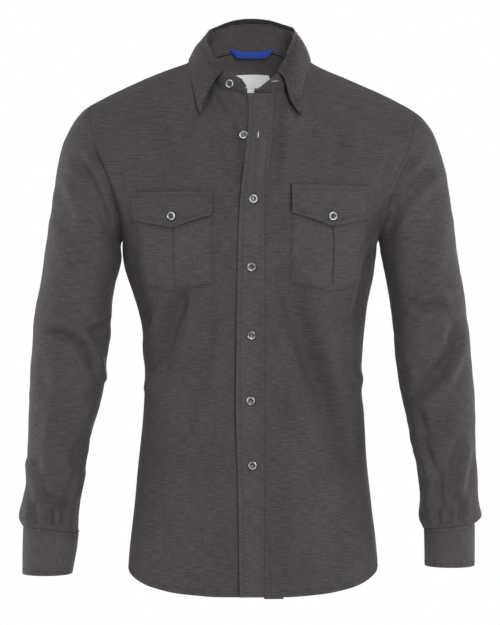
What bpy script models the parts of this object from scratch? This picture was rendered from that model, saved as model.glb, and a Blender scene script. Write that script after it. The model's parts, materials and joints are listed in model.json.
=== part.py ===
"""A long-sleeved button-front shirt, filled out with nobody in it, as hollow solids in metres.

The front faces -Y, up is +Z, and the origin is the middle of the shoulder line at the neck.
The wearer's left is +X. Every panel is a grid of points on one body form, made into a thin wall.
"""
import math
import bmesh
import bpy
import numpy as np

for old_object in list(bpy.data.objects):
    bpy.data.objects.remove(old_object, do_unlink=True)

CLOTH = 0.0012
STIFF_CLOTH = 0.0018
SEAM_GAP = 0.0003
HALF_GAP = 0.00017
RIGHT = -1
LEFT = 1

ARMPIT_HEIGHT = -0.250
RING_POWER = 2.35
SHOULDER_POWER = 2.2

# Torso below the armpits: a row for each level ring.
TORSO_COLUMNS = ("height", "half_right", "half_left", "front", "back")
TORSO_RINGS = (
    (-0.760, 0.1720, 0.1740, 0.1180, 0.1160),
    (-0.700, 0.1712, 0.1735, 0.1170, 0.1150),
    (-0.659, 0.1684, 0.1712, 0.1155, 0.1130),
    (-0.603, 0.1615, 0.1642, 0.1130, 0.1090),
    (-0.548, 0.1560, 0.1573, 0.1100, 0.1020),
    (-0.493, 0.1504, 0.1518, 0.1070, 0.0950),
    (-0.438, 0.1482, 0.1480, 0.1060, 0.0925),
    (-0.400, 0.1480, 0.1510, 0.1075, 0.0935),
    (-0.355, 0.1535, 0.1560, 0.1120, 0.0990),
    (-0.327, 0.1612, 0.1600, 0.1160, 0.1040),
    (-0.286, 0.1722, 0.1665, 0.1205, 0.1110),
    (-0.250, 0.1770, 0.1715, 0.1225, 0.1160),
)

# Torso above the armpits: rise 0 is the armpit, rise 1 the shoulder ridge. The armhole is
# where the panels end, and share is its part of the ring's whole half width.
UPPER_COLUMNS = ("rise", "armhole", "share", "front", "back")
UPPER_RINGS = (
    (0.00, 0.1740, 1.000, 0.1225, 0.1160),
    (0.05, 0.1742, 0.955, 0.1228, 0.1175),
    (0.11, 0.1768, 0.890, 0.1226, 0.1190),
    (0.20, 0.1845, 0.830, 0.1195, 0.1200),
    (0.30, 0.1965, 0.770, 0.1110, 0.1205),
    (0.40, 0.2085, 0.730, 0.1000, 0.1205),
    (0.50, 0.2160, 0.700, 0.0955, 0.1200),
    (0.60, 0.2198, 0.680, 0.0930, 0.1190),
    (0.80, 0.2224, 0.660, 0.0915, 0.1140),
    (1.00, 0.2235, 0.650, 0.0900, 0.1080),
)

# Height of the shoulder ridge; inside 0.07 m it rises as the neck would.
RIDGE_COLUMNS = ("across", "right", "left")
RIDGE_LINE = (
    (0.000, 0.0700, 0.0700),
    (0.030, 0.0600, 0.0600),
    (0.050, 0.0400, 0.0390),
    (0.060, 0.0260, 0.0240),
    (0.0695, 0.0130, 0.0105),
    (0.085, 0.0020, -0.0015),
    (0.105, -0.0050, -0.0105),
    (0.120, -0.0100, -0.0165),
    (0.153, -0.0238, -0.0310),
    (0.182, -0.0376, -0.0443),
    (0.210, -0.0514, -0.0588),
    (0.235, -0.0650, -0.0740),
)

# Where the front's main column lines run: the pocket's two edges and its middle.
LINE_COLUMNS = ("height", "pocket_inner", "pocket_middle", "pocket_outer")
FRONT_LINES = (
    (-0.740, 0.0540, 0.1060, 0.1470),
    (-0.550, 0.0530, 0.1020, 0.1380),
    (-0.400, 0.0530, 0.0990, 0.1300),
    (-0.315, 0.0535, 0.1035, 0.1400),
    (-0.215, 0.0530, 0.1060, 0.1560),
    (-0.178, 0.0530, 0.1070, 0.1600),
)

# The button placket's two edges in x.
PLACKET_COLUMNS = ("height", "free_edge", "stitched_edge")
PLACKET_EDGES = (
    (-0.740, -0.0180, 0.0165),
    (-0.280, -0.0180, 0.0165),
    (-0.230, -0.0170, 0.0170),
    (-0.194, -0.0150, 0.0185),
    (-0.145, -0.0095, 0.0230),
    (-0.108, -0.0050, 0.0265),
    (-0.070, -0.0035, 0.0285),
    (-0.045, -0.0070, 0.0290),
)

# Grid rows of the fronts, as heights on the five main column lines.
ROW_COLUMNS = ("placket", "inner", "middle", "outer", "side")
FRONT_ROWS = (
    (-0.7225, -0.7225, -0.7190, -0.7110, -0.6910),
    (-0.6920, -0.6920, -0.6890, -0.6830, -0.6680),
    (-0.6600, -0.6600, -0.6580, -0.6540, -0.6440),
    (-0.6270, -0.6270, -0.6260, -0.6240, -0.6180),
    (-0.5940, -0.5940, -0.5940, -0.5930, -0.5900),
    (-0.5620, -0.5620, -0.5620, -0.5620, -0.5620),
    (-0.5300, -0.5300, -0.5300, -0.5300, -0.5300),
    (-0.4980, -0.4980, -0.4980, -0.4980, -0.4980),
    (-0.4660, -0.4660, -0.4660, -0.4660, -0.4660),
    (-0.4340, -0.4340, -0.4340, -0.4340, -0.4340),
    (-0.4020, -0.4020, -0.4020, -0.4020, -0.4020),
    (-0.3710, -0.3710, -0.3720, -0.3710, -0.3710),
    (-0.3400, -0.3380, -0.3450, -0.3400, -0.3400),
    (-0.3100, -0.3045, -0.3160, -0.3065, -0.3080),
    (-0.2820, -0.2780, -0.2850, -0.2790, -0.2790),
    (-0.2530, -0.2500, -0.2560, -0.2500, -0.2500),
    (-0.2240, -0.2120, -0.2290, -0.2170, -0.2240),
    (-0.2010, -0.1960, -0.2040, -0.1980, -0.2000),
    (-0.1780, -0.1780, -0.1780, -0.1780, -0.1760),
)
ARMPIT_ROW = 15
POCKET_BOTTOM_ROW = 13
FLAP_EDGE_ROW = 16
FLAP_TOP_ROW = 18
TOP_ROWS = (0.17, 0.34, 0.51, 0.68, 0.84, 1.0)
SPAN_COUNTS = (5, 3, 3, 4)

# Front neckline: height against x, then the yoke's front corner.
NECK_FRONT_COLUMNS = ("across", "right", "left")
NECK_FRONT = (
    (0.000, -0.0500, -0.0520),
    (0.015, -0.0485, -0.0512),
    (0.030, -0.0470, -0.0495),
    (0.043, -0.0440, -0.0465),
    (0.055, -0.0330, -0.0355),
    (0.064, -0.0140, -0.0160),
    (0.070, -0.0010, -0.0020),
)
YOKE_FRONT_RISE = 0.88
NECK_CORNER = 0.068
NECK_COLUMN_SWING = 0.013

# Back neckline on the yoke, by x and rise, from the front corner to the middle.
NECK_BACK = (
    (0.0680, 0.880),
    (0.0700, 1.040),
    (0.0660, 1.170),
    (0.0540, 1.270),
    (0.0290, 1.345),
    (0.0000, 1.362),
)
BACK_SEAM_X = (0.090, 0.074, 0.057, 0.038, 0.019, 0.0)
BACK_SEAM_HEIGHT = -0.068
BACK_SEAM_DROP = 0.75
YOKE_ROWS = 5

BACK_ROWS = (
    -0.7000, -0.6680, -0.6360, -0.6020, -0.5680, -0.5340, -0.5000, -0.4660, -0.4320,
    -0.3980, -0.3640, -0.3320, -0.3040, -0.2770, -0.2500, -0.2240, -0.1980, -0.1720,
    -0.1460, -0.1210,
)
BACK_ARMPIT_ROW = 15
BACK_HEM_SIDE = -0.6910
BACK_HEM_MIDDLE = -0.7350

# Sleeve rings from just outside the armhole to the cuff, each from its outer and inner point.
SLEEVE_COLUMNS = ("outer_x", "outer_z", "inner_x", "inner_z", "front", "back")
SLEEVE_RIGHT = (
    (0.2330, -0.0652, 0.1795, -0.2520, -0.0700, 0.0710),
    (0.2456, -0.0790, 0.1812, -0.2540, -0.0690, 0.0700),
    (0.2525, -0.0928, 0.1825, -0.2565, -0.0680, 0.0690),
    (0.2590, -0.1066, 0.1835, -0.2595, -0.0672, 0.0682),
    (0.2645, -0.1260, 0.1842, -0.2640, -0.0664, 0.0674),
    (0.2695, -0.1500, 0.1850, -0.2700, -0.0656, 0.0666),
    (0.2746, -0.1800, 0.1860, -0.2780, -0.0648, 0.0658),
    (0.2790, -0.2120, 0.1872, -0.2880, -0.0640, 0.0650),
    (0.2845, -0.2460, 0.1890, -0.3000, -0.0630, 0.0640),
    (0.2905, -0.2780, 0.1918, -0.3140, -0.0620, 0.0630),
    (0.2970, -0.3100, 0.1945, -0.3290, -0.0610, 0.0615),
    (0.3020, -0.3420, 0.1966, -0.3500, -0.0595, 0.0600),
    (0.3045, -0.3750, 0.1980, -0.3760, -0.0580, 0.0580),
    (0.3060, -0.4050, 0.1995, -0.4050, -0.0565, 0.0555),
    (0.3070, -0.4350, 0.2035, -0.4350, -0.0550, 0.0530),
    (0.3080, -0.4650, 0.2095, -0.4650, -0.0535, 0.0505),
    (0.3090, -0.4930, 0.2165, -0.4930, -0.0520, 0.0480),
    (0.3105, -0.5200, 0.2245, -0.5200, -0.0505, 0.0455),
    (0.3112, -0.5480, 0.2290, -0.5480, -0.0490, 0.0430),
    (0.3125, -0.5750, 0.2320, -0.5750, -0.0480, 0.0410),
    (0.3160, -0.5990, 0.2365, -0.5990, -0.0485, 0.0400),
    (0.3210, -0.6170, 0.2385, -0.6170, -0.0500, 0.0400),
    (0.3215, -0.6310, 0.2390, -0.6310, -0.0490, 0.0390),
    (0.3150, -0.6402, 0.2395, -0.6402, -0.0450, 0.0350),
)
SLEEVE_LEFT = (
    (0.2300, -0.0705, 0.1740, -0.2520, -0.0700, 0.0710),
    (0.2400, -0.0810, 0.1755, -0.2540, -0.0690, 0.0700),
    (0.2480, -0.0935, 0.1768, -0.2565, -0.0680, 0.0690),
    (0.2540, -0.1066, 0.1778, -0.2595, -0.0672, 0.0682),
    (0.2605, -0.1260, 0.1786, -0.2640, -0.0664, 0.0674),
    (0.2680, -0.1500, 0.1796, -0.2700, -0.0656, 0.0666),
    (0.2725, -0.1800, 0.1810, -0.2780, -0.0648, 0.0658),
    (0.2765, -0.2120, 0.1832, -0.2880, -0.0640, 0.0650),
    (0.2808, -0.2460, 0.1858, -0.3000, -0.0630, 0.0640),
    (0.2865, -0.2780, 0.1885, -0.3140, -0.0620, 0.0630),
    (0.2925, -0.3100, 0.1908, -0.3290, -0.0610, 0.0615),
    (0.2958, -0.3420, 0.1940, -0.3500, -0.0595, 0.0600),
    (0.2988, -0.3750, 0.1955, -0.3760, -0.0580, 0.0580),
    (0.3015, -0.4050, 0.1975, -0.4050, -0.0565, 0.0555),
    (0.3045, -0.4350, 0.2015, -0.4350, -0.0550, 0.0530),
    (0.3062, -0.4650, 0.2070, -0.4650, -0.0535, 0.0505),
    (0.3076, -0.4930, 0.2140, -0.4930, -0.0520, 0.0480),
    (0.3080, -0.5200, 0.2194, -0.5200, -0.0505, 0.0455),
    (0.3088, -0.5480, 0.2250, -0.5480, -0.0490, 0.0430),
    (0.3095, -0.5750, 0.2305, -0.5750, -0.0480, 0.0410),
    (0.3108, -0.5990, 0.2315, -0.5990, -0.0485, 0.0400),
    (0.3125, -0.6170, 0.2295, -0.6170, -0.0500, 0.0400),
    (0.3145, -0.6330, 0.2305, -0.6330, -0.0490, 0.0390),
    (0.3065, -0.6437, 0.2370, -0.6437, -0.0450, 0.0350),
)
BLEND_TO_ARMHOLE = (0.80, 0.55, 0.34, 0.18, 0.07)

# Cuffs: level rings from the top edge down.
CUFF_COLUMNS = ("height", "outer_x", "inner_x", "front", "back")
CUFF_RIGHT = (
    (-0.6408, 0.3155, 0.2385, -0.0450, 0.0350),
    (-0.6620, 0.3162, 0.2400, -0.0455, 0.0345),
    (-0.6830, 0.3165, 0.2435, -0.0460, 0.0335),
    (-0.7040, 0.3165, 0.2470, -0.0460, 0.0325),
)
CUFF_LEFT = (
    (-0.6443, 0.3070, 0.2365, -0.0450, 0.0350),
    (-0.6620, 0.3072, 0.2370, -0.0455, 0.0345),
    (-0.6800, 0.3070, 0.2372, -0.0458, 0.0335),
    (-0.6980, 0.3068, 0.2374, -0.0458, 0.0325),
)
CUFF_STEPS = 22
CUFF_LAP_STEPS = 3
CUFF_START_TURN = 236.0

# Collar: along is 0 at the middle of the back and 1 at the stand's front end.
STAND_COLUMNS = ("along", "x_right", "z_right", "x_left", "z_left", "y")
STAND_TOP = (
    (0.00, 0.0000, 0.0620, 0.0000, 0.0620, 0.0715),
    (0.12, 0.0280, 0.0600, 0.0280, 0.0600, 0.0695),
    (0.25, 0.0520, 0.0550, 0.0500, 0.0545, 0.0560),
    (0.44, 0.0600, 0.0450, 0.0575, 0.0440, 0.0060),
    (0.52, 0.0600, 0.0370, 0.0580, 0.0360, -0.0160),
    (0.66, 0.0590, 0.0160, 0.0570, 0.0150, -0.0430),
    (0.76, 0.0500, -0.0015, 0.0490, -0.0020, -0.0600),
    (0.84, 0.0415, -0.0125, 0.0400, -0.0140, -0.0705),
    (0.90, 0.0345, -0.0195, 0.0320, -0.0205, -0.0765),
    (0.96, 0.0185, -0.0260, 0.0200, -0.0310, -0.0825),
    (1.00, 0.0085, -0.0390, 0.0050, -0.0445, -0.0855),
)
LEAF_END = 0.90
LEAF_COLUMNS = ("along", "x_right", "z_right", "x_left", "z_left", "y")
LEAF_EDGE = (
    (0.00, 0.0000, 0.0110, 0.0000, 0.0110, 0.0990),
    (0.12, 0.0360, 0.0105, 0.0360, 0.0100, 0.0950),
    (0.25, 0.0680, 0.0090, 0.0650, 0.0070, 0.0720),
    (0.44, 0.0890, 0.0045, 0.0820, 0.0030, 0.0080),
    (0.52, 0.0875, -0.0080, 0.0785, -0.0080, -0.0240),
    (0.66, 0.0840, -0.0300, 0.0710, -0.0280, -0.0500),
    (0.76, 0.0795, -0.0470, 0.0675, -0.0450, -0.0680),
    (0.84, 0.0745, -0.0630, 0.0660, -0.0620, -0.0790),
    (0.90, 0.0697, -0.0775, 0.0646, -0.0770, -0.0880),
)
LEAF_ROWS = (0.18, 0.42, 0.70, 1.0)

# Long folds on the torso: start, end, half width and height (a trough is negative).
FOLD_COLUMNS = ("face", "x0", "z0", "x1", "z1", "half_width", "height")
TORSO_FOLDS = (
    ("front", 0.062, -0.330, 0.120, -0.620, 0.026, -0.0040),
    ("front", 0.128, -0.300, 0.140, -0.470, 0.016, 0.0030),
    ("front", -0.094, -0.322, -0.135, -0.440, 0.016, -0.0030),
    ("front", -0.142, -0.380, -0.128, -0.470, 0.014, 0.0026),
    ("front", -0.060, -0.540, -0.110, -0.690, 0.024, -0.0030),
    ("back", 0.070, -0.240, 0.110, -0.520, 0.026, -0.0040),
    ("back", -0.080, -0.260, -0.115, -0.500, 0.026, -0.0040),
    ("back", 0.000, -0.380, 0.010, -0.640, 0.028, 0.0030),
)

# Folds on the sleeves: turn is degrees round from the outer side towards the front.
SLEEVE_FOLD_COLUMNS = ("turn0", "z0", "turn1", "z1", "half_width", "height")
SLEEVE_FOLDS_RIGHT = (
    (70.0, -0.130, 110.0, -0.260, 0.013, -0.0050),
    (35.0, -0.150, 92.0, -0.285, 0.012, -0.0045),
    (60.0, -0.185, 100.0, -0.300, 0.010, 0.0030),
    (25.0, -0.372, 150.0, -0.415, 0.014, -0.0060),
    (110.0, -0.425, 165.0, -0.450, 0.012, 0.0040),
    (35.0, -0.560, 60.0, -0.610, 0.012, -0.0040),
    (115.0, -0.560, 100.0, -0.620, 0.012, -0.0040),
    (250.0, -0.380, 200.0, -0.430, 0.016, -0.0050),
    (280.0, -0.160, 240.0, -0.270, 0.014, -0.0045),
    (300.0, -0.540, 280.0, -0.620, 0.014, -0.0040),
)
SLEEVE_FOLDS_LEFT = (
    (45.0, -0.130, 96.0, -0.250, 0.013, -0.0045),
    (100.0, -0.110, 122.0, -0.200, 0.010, -0.0035),
    (40.0, -0.345, 60.0, -0.420, 0.014, -0.0055),
    (60.0, -0.420, 130.0, -0.470, 0.014, -0.0060),
    (130.0, -0.490, 140.0, -0.540, 0.012, 0.0035),
    (40.0, -0.530, 55.0, -0.610, 0.012, -0.0040),
    (105.0, -0.590, 118.0, -0.630, 0.010, -0.0040),
    (250.0, -0.400, 205.0, -0.450, 0.016, -0.0050),
    (280.0, -0.160, 240.0, -0.270, 0.014, -0.0045),
    (300.0, -0.540, 280.0, -0.620, 0.014, -0.0040),
)

BUTTON_RADIUS = 0.0056
BUTTON_HEIGHT = 0.0024
# The open button lies on the under front, which runs lower beside the placket.
UNDER_BUTTON_LIFT = -0.0008
# Buttons down the front: height, x offset from the placket's middle line, and what each lies on.
FRONT_BUTTONS = (
    ("button_front_1", -0.1080, -0.0115, "under"),
    ("button_front_2", -0.1940, 0.0000, "placket"),
    ("button_front_3", -0.2840, 0.0000, "placket"),
    ("button_front_4", -0.3745, 0.0000, "placket"),
    ("button_front_5", -0.4620, -0.0012, "placket"),
    ("button_front_6", -0.5480, 0.0012, "placket"),
)


def column(rows, names, name):
    """One named column of a table as an array."""
    place = names.index(name)
    return np.array([row[place] for row in rows], dtype=float)


def smooth_read(keys, values, at):
    """Reads a table between its rows with a smooth curve that does not overshoot."""
    order = np.argsort(keys)
    keys = keys[order]
    values = values[order]
    at = min(max(at, keys[0]), keys[-1])
    index = int(min(max(np.searchsorted(keys, at) - 1, 0), len(keys) - 2))
    slopes = np.diff(values) / np.diff(keys)

    def tangent(place):
        if place == 0:
            return slopes[0]
        if place == len(keys) - 1:
            return slopes[-1]
        before = slopes[place - 1]
        after = slopes[place]
        if before * after <= 0.0:
            return 0.0
        return 2.0 * before * after / (before + after)

    width = keys[index + 1] - keys[index]
    part = (at - keys[index]) / width
    start = values[index]
    end = values[index + 1]
    rise_start = tangent(index) * width
    rise_end = tangent(index + 1) * width
    square = part * part
    cube = square * part
    return (start * (2 * cube - 3 * square + 1) + rise_start * (cube - 2 * square + part)
            + end * (3 * square - 2 * cube) + rise_end * (cube - square))


def signed_power(value, power):
    return math.copysign(abs(value) ** power, value)


TORSO_HEIGHTS = column(TORSO_RINGS, TORSO_COLUMNS, "height")
TORSO_HALF = {
    RIGHT: column(TORSO_RINGS, TORSO_COLUMNS, "half_right"),
    LEFT: column(TORSO_RINGS, TORSO_COLUMNS, "half_left"),
}
TORSO_FRONT = column(TORSO_RINGS, TORSO_COLUMNS, "front")
TORSO_BACK = column(TORSO_RINGS, TORSO_COLUMNS, "back")
UPPER_RISE = column(UPPER_RINGS, UPPER_COLUMNS, "rise")
UPPER_ARMHOLE = column(UPPER_RINGS, UPPER_COLUMNS, "armhole")
UPPER_SHARE = column(UPPER_RINGS, UPPER_COLUMNS, "share")
UPPER_FRONT = column(UPPER_RINGS, UPPER_COLUMNS, "front")
UPPER_BACK = column(UPPER_RINGS, UPPER_COLUMNS, "back")
RIDGE_ACROSS = column(RIDGE_LINE, RIDGE_COLUMNS, "across")
RIDGE = {
    RIGHT: column(RIDGE_LINE, RIDGE_COLUMNS, "right"),
    LEFT: column(RIDGE_LINE, RIDGE_COLUMNS, "left"),
}


def half_width(side, height):
    return smooth_read(TORSO_HEIGHTS, TORSO_HALF[side], height)


def armhole_x(side, rise):
    """How far out the armhole lies; rise over 1 is behind the ridge."""
    folded = rise if rise <= 1.0 else 2.0 - rise
    step = half_width(side, ARMPIT_HEIGHT) - UPPER_ARMHOLE[0]
    return smooth_read(UPPER_RISE, UPPER_ARMHOLE, folded) + step * (1.0 - folded) ** 6


def armhole_share(rise):
    folded = rise if rise <= 1.0 else 2.0 - rise
    return smooth_read(UPPER_RISE, UPPER_SHARE, folded)


def ridge_height(x):
    """Height of the shoulder ridge, eased between the two sides near the middle."""
    across = abs(x)
    right = smooth_read(RIDGE_ACROSS, RIDGE[RIGHT], across)
    left = smooth_read(RIDGE_ACROSS, RIDGE[LEFT], across)
    return right if x < 0.0 else left


def rise_for(x, height, behind):
    """The rise at which the torso has this height on the line x."""
    part = (height - ARMPIT_HEIGHT) / (ridge_height(x) - ARMPIT_HEIGHT)
    part = min(max(part, 0.0), 1.0)
    rise = math.asin(part ** (SHOULDER_POWER / 2.0)) / (math.pi / 2.0)
    return 2.0 - rise if behind else rise


def upper_point(side, turn, rise):
    """A point above the armpits: turn 0 is the middle line, a quarter turn the ring's side."""
    folded = rise if rise <= 1.0 else 2.0 - rise
    whole_half = armhole_x(side, rise) / armhole_share(rise)
    depth = smooth_read(UPPER_RISE, UPPER_BACK if rise > 1.0 else UPPER_FRONT, folded)
    angle = rise * math.pi / 2.0
    x = side * whole_half * signed_power(math.sin(turn), 2.0 / RING_POWER)
    y = (-depth * signed_power(math.cos(turn), 2.0 / RING_POWER)
         * signed_power(math.cos(angle), 2.0 / SHOULDER_POWER))
    reach = abs(math.sin(angle)) ** (2.0 / SHOULDER_POWER)
    z = ARMPIT_HEIGHT + (ridge_height(x) - ARMPIT_HEIGHT) * reach
    return np.array((x, y, z))


def lower_point(side, turn, height, behind):
    """A point below the armpits; a turn past a quarter runs on round the side."""
    front = smooth_read(TORSO_HEIGHTS, TORSO_FRONT, height)
    back = smooth_read(TORSO_HEIGHTS, TORSO_BACK, height)
    depth = signed_power(math.cos(turn), 2.0 / RING_POWER)
    if behind:
        depth = -depth
    x = side * half_width(side, height) * signed_power(math.sin(turn), 2.0 / RING_POWER)
    y = -front * depth if depth > 0.0 else -back * depth
    return np.array((x, y, height))


def face_normal(along_u, along_v, centre, point):
    normal = np.cross(along_u, along_v)
    normal = normal / np.linalg.norm(normal)
    if np.dot(normal, point - centre) < 0.0:
        normal = -normal
    return normal


def upper_normal(side, turn, rise):
    step = 0.004
    along_u = upper_point(side, turn + step, rise) - upper_point(side, turn - step, rise)
    low = max(rise - step, 0.002)
    along_v = upper_point(side, turn, rise + step) - upper_point(side, turn, low)
    point = upper_point(side, turn, rise)
    return face_normal(along_u, along_v, np.array((0.0, 0.0, ARMPIT_HEIGHT - 0.06)), point)


def lower_normal(side, turn, height, behind):
    step = 0.004
    along_u = (lower_point(side, turn + step, height, behind)
               - lower_point(side, turn - step, height, behind))
    along_v = (lower_point(side, turn, height + step, behind)
               - lower_point(side, turn, height - step, behind))
    point = lower_point(side, turn, height, behind)
    return face_normal(along_u, along_v, np.array((0.0, 0.0, height)), point)


def turn_for(side, x_out, rise, height):
    """The turn at which the ring is x_out wide, above (rise) or below (height) the armpits."""
    if rise is None:
        whole_half = half_width(side, height)
    else:
        whole_half = armhole_x(side, rise) / armhole_share(rise)
    part = min(max(x_out / whole_half, -1.0), 1.0)
    return math.asin(signed_power(abs(part), RING_POWER / 2.0)) * (1 if part >= 0 else -1)


def fold_height(face, x, z):
    """Sum of the long folds at one place of the front or the back."""
    total = 0.0
    for row in TORSO_FOLDS:
        fold = dict(zip(FOLD_COLUMNS, row))
        if fold["face"] != face:
            continue
        start = np.array((fold["x0"], fold["z0"]))
        end = np.array((fold["x1"], fold["z1"]))
        line = end - start
        length = np.linalg.norm(line)
        offset = np.array((x, z)) - start
        along = float(np.dot(offset, line)) / (length * length)
        across = (line[0] * offset[1] - line[1] * offset[0]) / length
        if along < -0.25 or along > 1.25:
            continue
        fade = math.sin(math.pi * (along + 0.25) / 1.5) ** 2
        total += fold["height"] * fade * math.exp(-(across / fold["half_width"]) ** 2)
    return total


def torso_node(side, turn, rise, height, behind):
    """Point and outward normal, with the long folds laid in."""
    if rise is None:
        point = lower_point(side, turn, height, behind)
        normal = lower_normal(side, turn, height, behind)
    else:
        point = upper_point(side, turn, rise)
        normal = upper_normal(side, turn, rise)
    face = "back" if behind else "front"
    return point + normal * fold_height(face, point[0], point[2]), normal


def node_at_height(side, turn_or_share, height, behind, on_armhole=False, x_out=None):
    """A node of a given height, placed by its turn, its x or by lying on the armhole."""
    if height <= ARMPIT_HEIGHT + 1e-9:
        if on_armhole:
            turn = math.pi / 2.0
        elif x_out is not None:
            turn = turn_for(side, x_out, None, height)
        else:
            turn = turn_or_share
        return turn, None
    x = x_out if x_out is not None else 0.15
    rise = 0.2
    for _ in range(12):
        rise = rise_for(side * abs(x), height, behind)
        if on_armhole:
            x = armhole_x(side, rise)
        elif x_out is None:
            whole_half = armhole_x(side, rise) / armhole_share(rise)
            x = whole_half * abs(signed_power(math.sin(turn_or_share), 2.0 / RING_POWER))
    if on_armhole:
        turn = turn_for(side, armhole_x(side, rise), rise, None)
    elif x_out is not None:
        turn = turn_for(side, x_out, rise, None)
    else:
        turn = turn_or_share
    return turn, rise


def line_x(name, height):
    keys = column(FRONT_LINES, LINE_COLUMNS, "height")
    return smooth_read(keys, column(FRONT_LINES, LINE_COLUMNS, name), height)


def placket_x(name, height):
    keys = column(PLACKET_EDGES, PLACKET_COLUMNS, "height")
    return smooth_read(keys, column(PLACKET_EDGES, PLACKET_COLUMNS, name), height)


def neck_front_height(x):
    keys = column(NECK_FRONT, NECK_FRONT_COLUMNS, "across")
    name = "right" if x < 0 else "left"
    return smooth_read(keys, column(NECK_FRONT, NECK_FRONT_COLUMNS, name), abs(x))


def front_edge_x(side, height):
    """Where the front's first column line lies, measured outwards on its own side."""
    if side == RIGHT:
        return -placket_x("free_edge", height)
    return placket_x("stitched_edge", height)


def mix(a, b, part):
    return a + (b - a) * part


def front_grid(side):
    """Nodes and normals of one front, rows from the hem up, columns from the middle outwards."""
    points = []
    normals = []
    for row in FRONT_ROWS:
        key_turns = []
        for name, height in zip(ROW_COLUMNS, row):
            if name == "placket":
                turn, rise = node_at_height(side, 0, height, False,
                                            x_out=front_edge_x(side, height))
            elif name == "side":
                turn, rise = node_at_height(side, 0, height, False, on_armhole=True)
            else:
                turn, rise = node_at_height(side, 0, height, False,
                                            x_out=line_x("pocket_" + name, height))
            key_turns.append(turn)
        row_points = []
        row_normals = []
        for span, count in enumerate(SPAN_COUNTS):
            last = 1 if span == len(SPAN_COUNTS) - 1 else 0
            for step in range(count + last):
                part = step / count
                height = mix(row[span], row[span + 1], part)
                turn = mix(key_turns[span], key_turns[span + 1], part)
                if part == 1.0:
                    turn, rise = node_at_height(side, turn, height, False, on_armhole=True)
                else:
                    turn, rise = node_at_height(side, turn, height, False)
                point, normal = torso_node(side, turn, rise, height, False)
                row_points.append(point)
                row_normals.append(normal)
        points.append(row_points)
        normals.append(row_normals)
    start_row = FRONT_ROWS[FLAP_TOP_ROW]
    top_x = (front_edge_x(side, -0.050), NECK_CORNER, 0.115, 0.184)
    for part_up in TOP_ROWS:
        key_data = []
        for place, name in enumerate(ROW_COLUMNS):
            low_height = start_row[place]
            if name == "side":
                low_rise = node_at_height(side, 0, low_height, False, on_armhole=True)[1]
                rise = mix(low_rise, YOKE_FRONT_RISE, part_up)
                turn = turn_for(side, armhole_x(side, rise), rise, None)
            else:
                if name == "placket":
                    low_x = front_edge_x(side, low_height)
                    high_rise = rise_for(side * top_x[0], neck_front_height(side * top_x[0]),
                                         False)
                else:
                    low_x = line_x("pocket_" + name, low_height)
                    high_rise = YOKE_FRONT_RISE
                low_rise = rise_for(side * low_x, low_height, False)
                rise = mix(low_rise, high_rise, part_up)
                if name == "placket":
                    height = upper_point(side, turn_for(side, low_x, rise, None), rise)[2]
                    out = front_edge_x(side, height)
                else:
                    low_share = low_x / armhole_x(side, low_rise)
                    high_share = top_x[place] / armhole_x(side, high_rise)
                    out = mix(low_share, high_share, part_up ** 1.3) * armhole_x(side, rise)
                    if name == "inner":
                        out += NECK_COLUMN_SWING * math.sin(math.pi * part_up)
                turn = turn_for(side, out, rise, None)
            key_data.append((turn, rise))
        row_points = []
        row_normals = []
        for span, count in enumerate(SPAN_COUNTS):
            last = 1 if span == len(SPAN_COUNTS) - 1 else 0
            for step in range(count + last):
                part = step / count
                turn = mix(key_data[span][0], key_data[span + 1][0], part)
                rise = mix(key_data[span][1], key_data[span + 1][1], part)
                if span == 0:
                    # Columns that end on the neckline take their share of its height.
                    low_node = points[FLAP_TOP_ROW][step]
                    x_low = abs(low_node[0])
                    low_rise = rise_for(side * x_low, low_node[2], False)
                    corner_x = mix(top_x[0], top_x[1], part)
                    if part == 0.0:
                        top_height = neck_front_height(side * corner_x)
                        high_rise = rise_for(side * corner_x, top_height, False)
                    else:
                        high_rise = neck_rise(side, corner_x)
                    rise = mix(low_rise, high_rise, part_up)
                    out = mix(x_low, corner_x, part_up)
                    turn = turn_for(side, out, rise, None)
                    if part == 0.0:
                        turn = key_data[0][0]
                        rise = key_data[0][1]
                point, normal = torso_node(side, turn, rise, None, False)
                row_points.append(point)
                row_normals.append(normal)
        points.append(row_points)
        normals.append(row_normals)
    return np.array(points), np.array(normals)


def neck_rise(side, x_out):
    """Rise of the front neckline at x_out, eased into the yoke's corner."""
    height = neck_front_height(side * x_out)
    rise = rise_for(side * x_out, height, False)
    ease = max(0.0, (x_out - 0.058) / (NECK_CORNER - 0.058))
    return mix(rise, YOKE_FRONT_RISE, ease * ease)


def back_seam_rise(side, x_out):
    height = BACK_SEAM_HEIGHT - BACK_SEAM_DROP * x_out * x_out
    return rise_for(side * x_out, height, True)


def armhole_back_seam(side):
    """Rise at which the back yoke seam meets the armhole."""
    x = 0.2
    rise = 1.6
    for _ in range(12):
        rise = back_seam_rise(side, x)
        x = armhole_x(side, rise)
    return x, rise


def shoulder_shares(side, front):
    """Shares of the armhole's width for the yoke's shoulder columns, from the neck outwards."""
    top_x = (NECK_CORNER, 0.115, 0.184)
    if front:
        rise = YOKE_FRONT_RISE
        turns = [turn_for(side, x, rise, None) for x in top_x]
        turns.append(turn_for(side, armhole_x(side, rise), rise, None))
    else:
        seam_x, rise = armhole_back_seam(side)
        outs = (BACK_SEAM_X[0], 0.128, 0.180)
        turns = [turn_for(side, x, rise, None) for x in outs]
        turns.append(turn_for(side, armhole_x(side, rise), rise, None))
    found = []
    for span, count in enumerate(SPAN_COUNTS[1:]):
        last = 1 if span == 2 else 0
        for step in range(count + last):
            found.append(mix(turns[span], turns[span + 1], step / count))
    return found


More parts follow.
